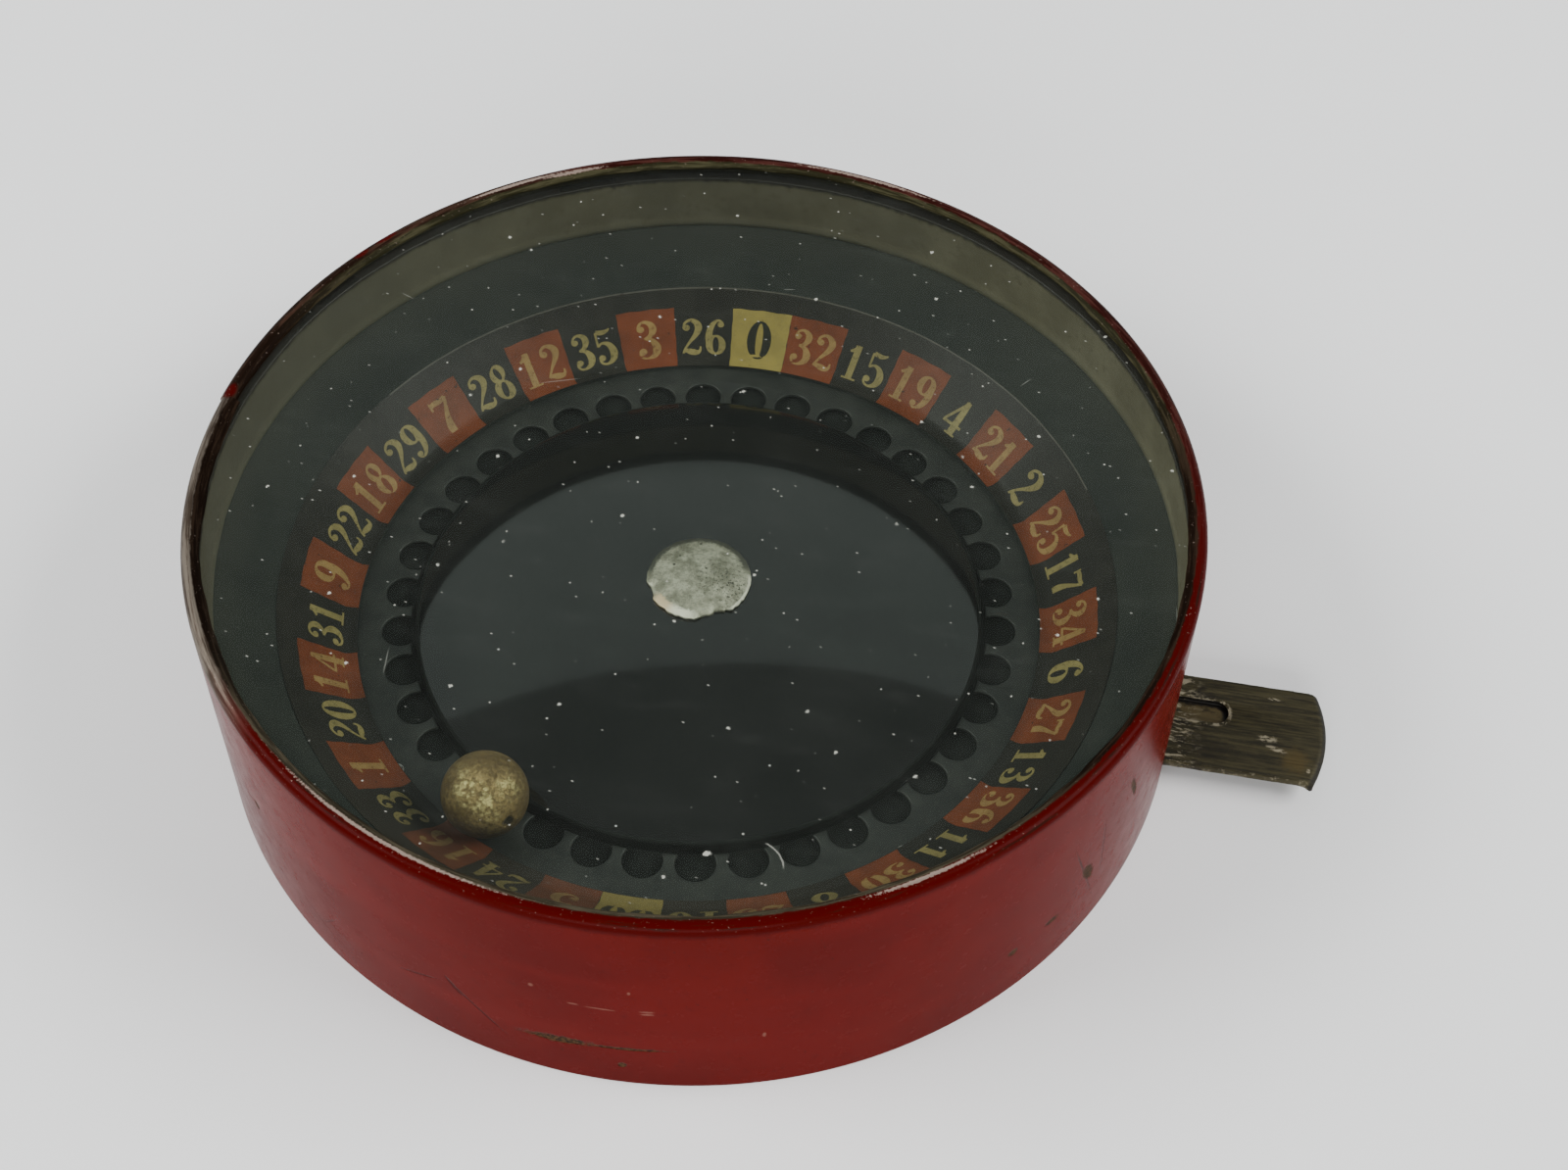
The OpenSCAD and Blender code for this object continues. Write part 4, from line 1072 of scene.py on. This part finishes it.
def rotor_shell():
    """The dome with its rounded step, the brim under the pockets and the turned-down fold."""
    edge = dome_at(DOME_EDGE - 0.3)
    top = [(r, dome_at(r)) for r in np.linspace(2.0, DOME_EDGE - 0.5, 42)]
    top += [(DOME_EDGE - 0.28, edge - 0.015), (DOME_EDGE - 0.12, edge - 0.07),
            (DOME_EDGE - 0.02, edge - 0.2), (DOME_EDGE, edge - 0.36), (DOME_EDGE, BRIM_Z + 0.22),
            (DOME_EDGE + 0.05, BRIM_Z + 0.08), (DOME_EDGE + 0.2, BRIM_Z), (25.3, BRIM_Z)]
    rim = [(ROTOR_R - 0.15, BRIM_Z), (ROTOR_R - 0.03, BRIM_Z - 0.04), (ROTOR_R, BRIM_Z - 0.15),
           (ROTOR_R, BRIM_Z - 0.76), (ROTOR_R - 0.06, BRIM_Z - 0.8), (ROTOR_R - 0.24, BRIM_Z - 0.8),
           (ROTOR_R - 0.3, BRIM_Z - 0.74), (ROTOR_R - 0.3, BRIM_Z - 0.3)]
    under = [(DOME_EDGE - 0.3, BRIM_Z - 0.3)] + [(r, dome_at(r, DOME_R - 0.3))
                                                 for r in np.linspace(DOME_EDGE - 0.3, 2.0, 14)]

    def uneven(r, z, a, k):
        return r, z + (0.006 * rough(a, 1.2, r * 0.1) if 6 < r < 22 else 0)
    verts, faces = lathe((top + rim + under)[::-1], turns(288), uneven)
    edges = [min(math.hypot(*verts[i][:2]) for i in f) > DOME_EDGE - 0.32 for f in faces]
    return piece("rotor_shell", verts, faces, [rotor_enamel(), rotor_brim()], "rotor",
                 ["rotor_dome"], which=[int(e) for e in edges])


def cap_shell():
    """The hub cap, a thin domed disc with a broken chip and a bent edge, on which its material paints a
    highlight.
    """
    skirt = dome_at(CAP_R) + 0.02
    crown = DOME_Z + 0.9
    chip_at, bend_at, nick_at = math.radians(-61), math.radians(-111), math.radians(-151)

    def height(f):
        return skirt + 0.25 + (crown - skirt - 0.25) * (1 - f ** 2.4)
    fs = [0.0, 0.12, 0.24, 0.36, 0.48, 0.6, 0.7, 0.79, 0.86, 0.92, 0.96, 0.985, 1.0]
    top = [(CAP_R * f, height(f), 1) for f in fs]
    rim = [(CAP_R, skirt + 0.16, 2), (CAP_R - 0.02, skirt + 0.05, 2), (CAP_R - 0.1, skirt, 2),
           (CAP_R - 0.2, skirt + 0.03, 2)]
    under = [(max(0.0, CAP_R * f - 0.2), height(f) - 0.18, 0) for f in fs[::-1] if CAP_R * f > 0.25
             or f == 0.0]
    marked = (top + rim + under)[::-1]

    def warp(r, z, a, k):
        zone = marked[k][2]
        chip = max(0.0, 1 - abs((a - chip_at + math.pi) % (2 * math.pi) - math.pi) / 0.36)
        nick = max(0.0, 1 - abs((a - nick_at + math.pi) % (2 * math.pi) - math.pi) / 0.2)
        bend = max(0.0, 1 - abs((a - bend_at + math.pi) % (2 * math.pi) - math.pi) / 0.5)
        out = (r / CAP_R) ** 6
        tear = chip ** 0.5 * (0.5 + 0.2 * rough(a, 16, 3.0)) + nick ** 0.4 * 0.3
        tear += 0.05 * rough(a, 9, 7.0) + 0.03 * rough(a, 26, 2.0)
        r2 = max(0.0, r - out * max(0.0, tear + 0.04))
        dent = 0.05 * noise.noise(Vector((r * math.cos(a) * 0.55, r * math.sin(a) * 0.55, 4.0)))
        dent += 0.02 * noise.noise(Vector((r * math.cos(a) * 1.6, r * math.sin(a) * 1.6, 9.0)))
        z2 = z + dent * (1 - out) - out * 0.1 * chip + out * 0.06 * bend * (zone == 1)
        return r2, max(z2, dome_at(min(r2, 26)) + 0.01)
    verts, faces = lathe([(r, z) for r, z, _ in marked], turns(160), warp)
    return piece("hub_cap_shell", verts, faces, cap_nickel(), "rotor", ["hub_cap"], weld=True,
                 sharp=50)


def loose_ball():
    a0 = PHASE - BALL_POCKET * PITCH
    centre = Vector((BALL_ORBIT * math.cos(a0), BALL_ORBIT * math.sin(a0), BALL_Z))
    bm = bmesh.new()
    bmesh.ops.create_icosphere(bm, subdivisions=6, radius=1.0)
    to_camera = Vector((0.03, -0.77, 0.63)).normalized()
    side = Vector((0, 0, 1)).cross(to_camera).normalized()
    up = to_camera.cross(side)
    spin = Matrix.Rotation(PHOTO_TURN, 3, "Z")
    pit_dir = spin @ (to_camera * 0.7 + side * 0.57 - up * 0.42).normalized()
    long_dir = (spin @ (side * 0.5 + up * 0.85)).normalized()
    for v in bm.verts:
        d = v.co.normalized()
        off = d - pit_dir
        along = off.dot(long_dir)
        across = (off - long_dir * along).length
        q = math.hypot(along / 0.19, across / 0.1)
        pit = -0.26 * max(0.0, 1 - q * q) + 0.035 * math.exp(-((q - 1.35) / 0.3) ** 2)
        scuff = 0.012 * noise.noise(d * 3.0) + 0.008 * noise.noise(d * 9.0)
        for k in range(7):
            c = Vector((math.sin(k * 2.4), math.cos(k * 2.4), math.sin(k * 1.3 + 0.4))).normalized()
            gap = (d - c).length / (0.03 + 0.01 * (k % 3))
            if gap < 1:
                scuff -= 0.03 * (1 - gap * gap)
        v.co = d * (BALL_R - 0.02 + pit + scuff)
    verts = [tuple(centre + v.co) for v in bm.verts]
    faces = [tuple(v.index for v in f.verts) for f in bm.faces]
    bm.free()
    brass = ball_brass(centre, spin @ side, spin @ up, centre + pit_dir * BALL_R)
    return piece("loose_ball", verts, faces, brass, "ball", ["ball"], sharp=80)


# ---------------------------------------------------------------- push strip and spring

GEAR_M, PINION_N = 0.4, 16
PITCH_R = GEAR_M * PINION_N / 2
GEAR_PITCH = math.pi * GEAR_M
RACK_Y = -PITCH_R - 1.25 * GEAR_M
ARM_X0, ARM_Y, WIDE_X = -13.0, -6.8, 25.2
STUD_X, POST_X, SPRING_Y, SPRING_Z = -9.0, 13.2, -9.2, 2.6
EYE_R, POST_EYE_R = 0.72, 0.92
GROOVE_Y, GROOVE_R, GROOVE_OUT, GROOVE_FLOOR = 1.15, 1.1, 43.5, 2.05
GROOVE_IN = GROOVE_OUT - 8.378 - 0.1
END_SAG = 0.95
END_R = (TAB_HALF ** 2 + END_SAG ** 2) / (2 * END_SAG)
END_X = TAB_TIP - END_R


def strip_outline():
    """Outline, counter-clockwise, of (x, y, part). Part goes from 0 to 1 where the end is turned down."""
    lean = math.tan(math.radians(20))
    half = GEAR_PITCH / 4 - 0.05
    add, ded = 0.9 * GEAR_M, 1.25 * GEAR_M
    pts = [(ARM_X0, ARM_Y), (STUD_X - 2, ARM_Y), (STUD_X - 2, SPRING_Y - 1.2), (STUD_X + 2, SPRING_Y - 1.2),
           (STUD_X + 2, ARM_Y), (WIDE_X + 1.8, ARM_Y), (WIDE_X + 3.3, -TAB_HALF), (34.0, -TAB_HALF)]
    pts += [(x, -TAB_HALF + 0.05 * noise.noise(Vector((x * 0.8, 1.0, 0))))
            for x in np.arange(38.0, 51.0, 0.7)]
    pts = [(x, y, 0) for x, y in pts]
    corner = math.asin(TAB_HALF / END_R)
    pts += [(51.2, -TAB_HALF - 0.01, 0.3), (51.5, -TAB_HALF - 0.07, 0.7), (51.75, -TAB_HALF - 0.1, 1),
            (51.93, -TAB_HALF + 0.02, 1)]
    last = math.radians(20.6)
    steps = 26
    for i in range(1, steps + 1):
        a = -corner + (corner + last) * i / steps
        pts.append((*polar(END_R, a, END_X), 1))
    x1, y1 = polar(END_R, last, END_X)
    for k in range(1, 6):
        t = k / 6
        w = (1 - t) ** 2, 2 * t * (1 - t), t * t
        pts.append((w[0] * x1 + w[1] * 51.9 + w[2] * 51.3, w[0] * y1 + w[1] * TAB_HALF + w[2] * TAB_HALF,
                    1 - t))
    pts += [(x, TAB_HALF + 0.03 * noise.noise(Vector((x * 0.8, 5.0, 0))), 0)
            for x in np.arange(51.1, 38.0, -0.8)]
    pts += [(34.0, TAB_HALF, 0), (WIDE_X + 1.8, TAB_HALF, 0), (WIDE_X, RACK_Y, 0)]
    for k in range(9, -3, -1):
        x = k * GEAR_PITCH
        pts += [(x + half + lean * ded, RACK_Y, 0), (x + half - lean * add, -PITCH_R + add, 0),
                (x - half + lean * add, -PITCH_R + add, 0), (x - half - lean * ded, RACK_Y, 0)]
    pts += [(ARM_X0, RACK_Y, 0)]
    return pts


def round_hole(cx0, cx1, cy, radius, n, wobble=0.0):
    """A slot or round hole, clockwise."""
    pts = []
    for quarter, cx in ((math.pi / 2, cx1), (-math.pi / 2, cx0)):
        pts += [polar(radius, quarter - math.pi * i / n, cx, cy) for i in range(n + 1)]
    if cx0 == cx1:
        pts = pts[:n] + pts[n + 1:-1]
    return [(x + wobble * noise.noise(Vector((x, y, 1.0))), y + wobble * noise.noise(Vector((x, y, 7.0))),
             0) for x, y in pts]


def inset(points, by):
    """The outline moved by distances to its left, one per point."""
    p = np.array([(q[0], q[1]) for q in points])
    a, b = p - np.roll(p, 1, 0), np.roll(p, -1, 0) - p
    a /= np.maximum(np.linalg.norm(a, axis=1), 1e-9)[:, None]
    b /= np.maximum(np.linalg.norm(b, axis=1), 1e-9)[:, None]
    na, nb = np.stack([-a[:, 1], a[:, 0]], 1), np.stack([-b[:, 1], b[:, 0]], 1)
    mid = na + nb
    scale = 2 / np.maximum((mid ** 2).sum(1), 0.6)
    return p + mid * scale[:, None] * np.array(by)[:, None]


def push_tab():
    """The strip: turned-down end, stop groove with burred edges, stud hole, arm and rack teeth."""
    outer = strip_outline()
    groove = round_hole(GROOVE_IN, GROOVE_OUT, GROOVE_Y, GROOVE_R, 14, 0.05)
    stud = round_hole(STUD_X, STUD_X, SPRING_Y, 0.53, 10)
    # Each ring of an edge is (distance into the metal, height).
    plain = [(0.07, STRIP_TOP), (0.02, STRIP_TOP - 0.02), (0.0, STRIP_TOP - 0.07), (0.0, 2.1),
             (0.0, STRIP_LOW + 0.05), (0.03, STRIP_LOW), (0.05, STRIP_LOW), (0.06, STRIP_LOW)]
    end = [(0.62, STRIP_TOP), (0.28, STRIP_TOP - 0.09), (0.07, STRIP_TOP - 0.3), (0.0, 2.0), (0.0, 1.45),
           (0.06, 1.4), (0.44, 1.4), (0.5, STRIP_LOW)]
    sunk = [(0.08, STRIP_TOP), (0.02, STRIP_TOP - 0.02), (0.0, STRIP_TOP - 0.06),
            (0.0, GROOVE_FLOOR + 0.06), (-0.06, GROOVE_FLOOR)]
    verts, faces, tops, lows = [], [], [], []
    for points, rings in ((outer, plain), (groove, sunk), (stud, plain)):
        base, n = len(verts), len(points)
        for k in range(len(rings)):
            at = [[b + (e - b) * q[2] for b, e in zip(rings[k], end[k] if k < len(end) else rings[k])]
                  for q in points]
            for q, (x, y), (_, z) in zip(points, inset(points, [a[0] for a in at]), at):
                if points is groove and k < 2 and q[0] > 42:
                    z += 0.07 * max(0.0, noise.noise(Vector((q[0] * 1.5, q[1] * 1.5, 3.0))) + 0.35)
                verts.append((x, y, z))
        faces += [(base + k * n + i, base + (k + 1) * n + i, base + (k + 1) * n + (i + 1) % n,
                   base + k * n + (i + 1) % n) for k in range(len(rings) - 1) for i in range(n)]
        tops.append(list(range(base, base + n)))
        lows.append(list(range(base + (len(rings) - 1) * n, base + len(rings) * n)))
    fill(verts, faces, tops)
    fill(verts, faces, [lows[0], lows[2]])
    fill(verts, faces, [lows[1]])
    return piece("push_tab", verts, faces, tab_steel(), "pusher", ["push_strip"], sharp=40,
                 turn_out=True)


def pull_spring():
    """Wire coil with an eye round each stud. Its ends sit at the case's post and the strip's stud."""
    wire, radius, sides = 0.17, 1.05, 8
    x0, x1 = STUD_X, POST_X
    c0, c1 = x0 + 2.2, x1 - 2.4
    path = []
    for i in range(15):
        a = math.radians(40 + 280 * i / 14)
        path.append((*polar(EYE_R, a, x0, SPRING_Y), SPRING_Z))
    path = path[::-1]
    path.append((c0 - 0.5, SPRING_Y + 0.35, SPRING_Z + 0.35))
    count = 15 * 18
    for i in range(count + 1):
        a = math.radians(60) + 2 * math.pi * i / 18
        path.append((c0 + (c1 - c0) * i / count, SPRING_Y + radius * math.cos(a),
                     SPRING_Z + radius * math.sin(a)))
    path.append((c1 + 0.5, SPRING_Y + 0.3, SPRING_Z + 0.4))
    for i in range(15):
        a = math.radians(140 - 280 * i / 14)
        path.append((*polar(POST_EYE_R, a, x1, SPRING_Y), SPRING_Z))
    p = [Vector(q) for q in path]
    verts, faces = [], []
    for i, q in enumerate(p):
        t = (p[min(i + 1, len(p) - 1)] - p[max(i - 1, 0)]).normalized()
        u = t.cross(Vector((0.1, 0.25, 1))).normalized()
        v = t.cross(u)
        verts += [tuple(q + wire * (math.cos(2 * math.pi * k / sides) * u
                                    + math.sin(2 * math.pi * k / sides) * v)) for k in range(sides)]
    for i in range(len(p) - 1):
        for k in range(sides):
            a, b = i * sides + k, i * sides + (k + 1) % sides
            faces.append((a, b, b + sides, a + sides))
    faces += [tuple(range(sides))[::-1], tuple((len(p) - 1) * sides + k for k in range(sides))]
    ob = piece("pull_spring", verts, faces, STEEL, None, ["return_spring"], sharp=60)
    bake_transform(ob)
    return ob


# ---------------------------------------------------------------- build

case_shell()
base_plate()
pane()
wall_hoop()
dish_body()
number_print()
pocket_plate()
rotor_shell()
cap_shell()
loose_ball()
push_tab()
pull_spring()

# The hidden works keep their CAD shapes
FINISHES = (
    (STEEL, "ring_pillars centre_post retaining_clip guide_saddles guide_straps stop_stud"),
    (STEEL, "spring_post spring_stud driver_plate pawl rotor_flange ratchet_wheel"),
    (BRASS, "thrust_washer strap_rivets drive_pinion pawl_pin pawl_spring hub_tube"),
    (brown_card(), "support_hoop"),
)
for material, names in FINISHES:
    for name in names.split():
        ob = nodes[name]
        if not ob.material_slots:
            ob.data.materials.append(material)
        for held in ob.material_slots:
            held.material = material

# ---------------------------------------------------------------- studio

FLOOR_R, FLOOR_SIDES = 1.6, 64  # metres


def floor():
    """A plain pale disc under the object."""
    s = Shader("studio_floor")
    grain = s.noise(0.05, 4, 0.6)
    s.set(Base_Color=s.mix(grain, (0.88, 0.88, 0.875), (0.91, 0.91, 0.905)), Roughness=0.7,
          Specular_IOR_Level=0.2)
    mesh = bpy.data.meshes.new("studio_floor")
    ring = [(*polar(FLOOR_R, 2 * math.pi * i / FLOOR_SIDES), 0.0) for i in range(FLOOR_SIDES)]
    mesh.from_pydata(ring, [], [tuple(range(FLOOR_SIDES))])
    mesh.materials.append(s.mat)
    ob = bpy.data.objects.new("studio_floor", mesh)
    bpy.context.scene.collection.objects.link(ob)


def lamp(name, place, aim, size, power, colour=(1, 1, 1)):
    """A soft rectangular lamp, placed in the photograph's frame."""
    data = bpy.data.lights.new(name, "AREA")
    data.shape = "RECTANGLE"
    data.size, data.size_y = size
    data.energy = power
    data.color = colour
    ob = bpy.data.objects.new(name, data)
    turn = Matrix.Rotation(PHOTO_TURN, 3, "Z")
    at, to = turn @ Vector(place), turn @ Vector(aim)
    ob.location = at
    ob.rotation_mode = "QUATERNION"
    ob.rotation_quaternion = (to - at).to_track_quat("-Z", "Y")
    bpy.context.scene.collection.objects.link(ob)


floor()
lamp("front", (-0.1, -1.05, 0.4), (0, 0, 0), (0.9, 0.5), 12.0)
lamp("left", (-0.85, -0.1, 0.72), (0, 0, 0), (0.7, 0.5), 12.0)
lamp("right", (0.85, -0.1, 0.72), (0, 0, 0), (0.7, 0.5), 12.0)
lamp("far_panel", (-0.062, 0.719, 0.55), (-0.037, 0.43, 0.0), (4.4, 0.856), 6.0, (0.88, 0.98, 1.0))

world = bpy.data.worlds.new("studio")
bpy.context.scene.world = world
world.use_nodes = True
world.node_tree.nodes["Background"].inputs[0].default_value = (0.9, 0.93, 0.95, 1)
world.node_tree.nodes["Background"].inputs[1].default_value = 0.3

# The camera: the photograph's angle, distance and framing
ELEVATION, ROLL = math.radians(50.82), math.radians(1.174)
LENS, SENSOR = 52.875, 36
DISTANCE, RIGHT_BY, UP_BY = 4.9387 * CASE_R, 0.1748 * CASE_R, 0.1671 * CASE_R
back = Vector((0, -math.cos(ELEVATION), math.sin(ELEVATION)))
right = Vector((1, 0, 0))
up = back.cross(right)
spin = Matrix.Rotation(PHOTO_TURN, 3, "Z")
eye = spin @ (back * DISTANCE + right * RIGHT_BY + up * UP_BY)
axis_x = spin @ (right * math.cos(ROLL) + up * math.sin(ROLL))
axis_y = spin @ (up * math.cos(ROLL) - right * math.sin(ROLL))
axis_z = spin @ back
data = bpy.data.cameras.new("camera")
data.lens = LENS
data.sensor_width = SENSOR
data.clip_start = 0.01
camera = bpy.data.objects.new("camera", data)
bpy.context.scene.collection.objects.link(camera)
camera.matrix_world = Matrix.Translation(eye * MM) @ Matrix((axis_x, axis_y, axis_z)).transposed().to_4x4()
bpy.context.scene.camera = camera
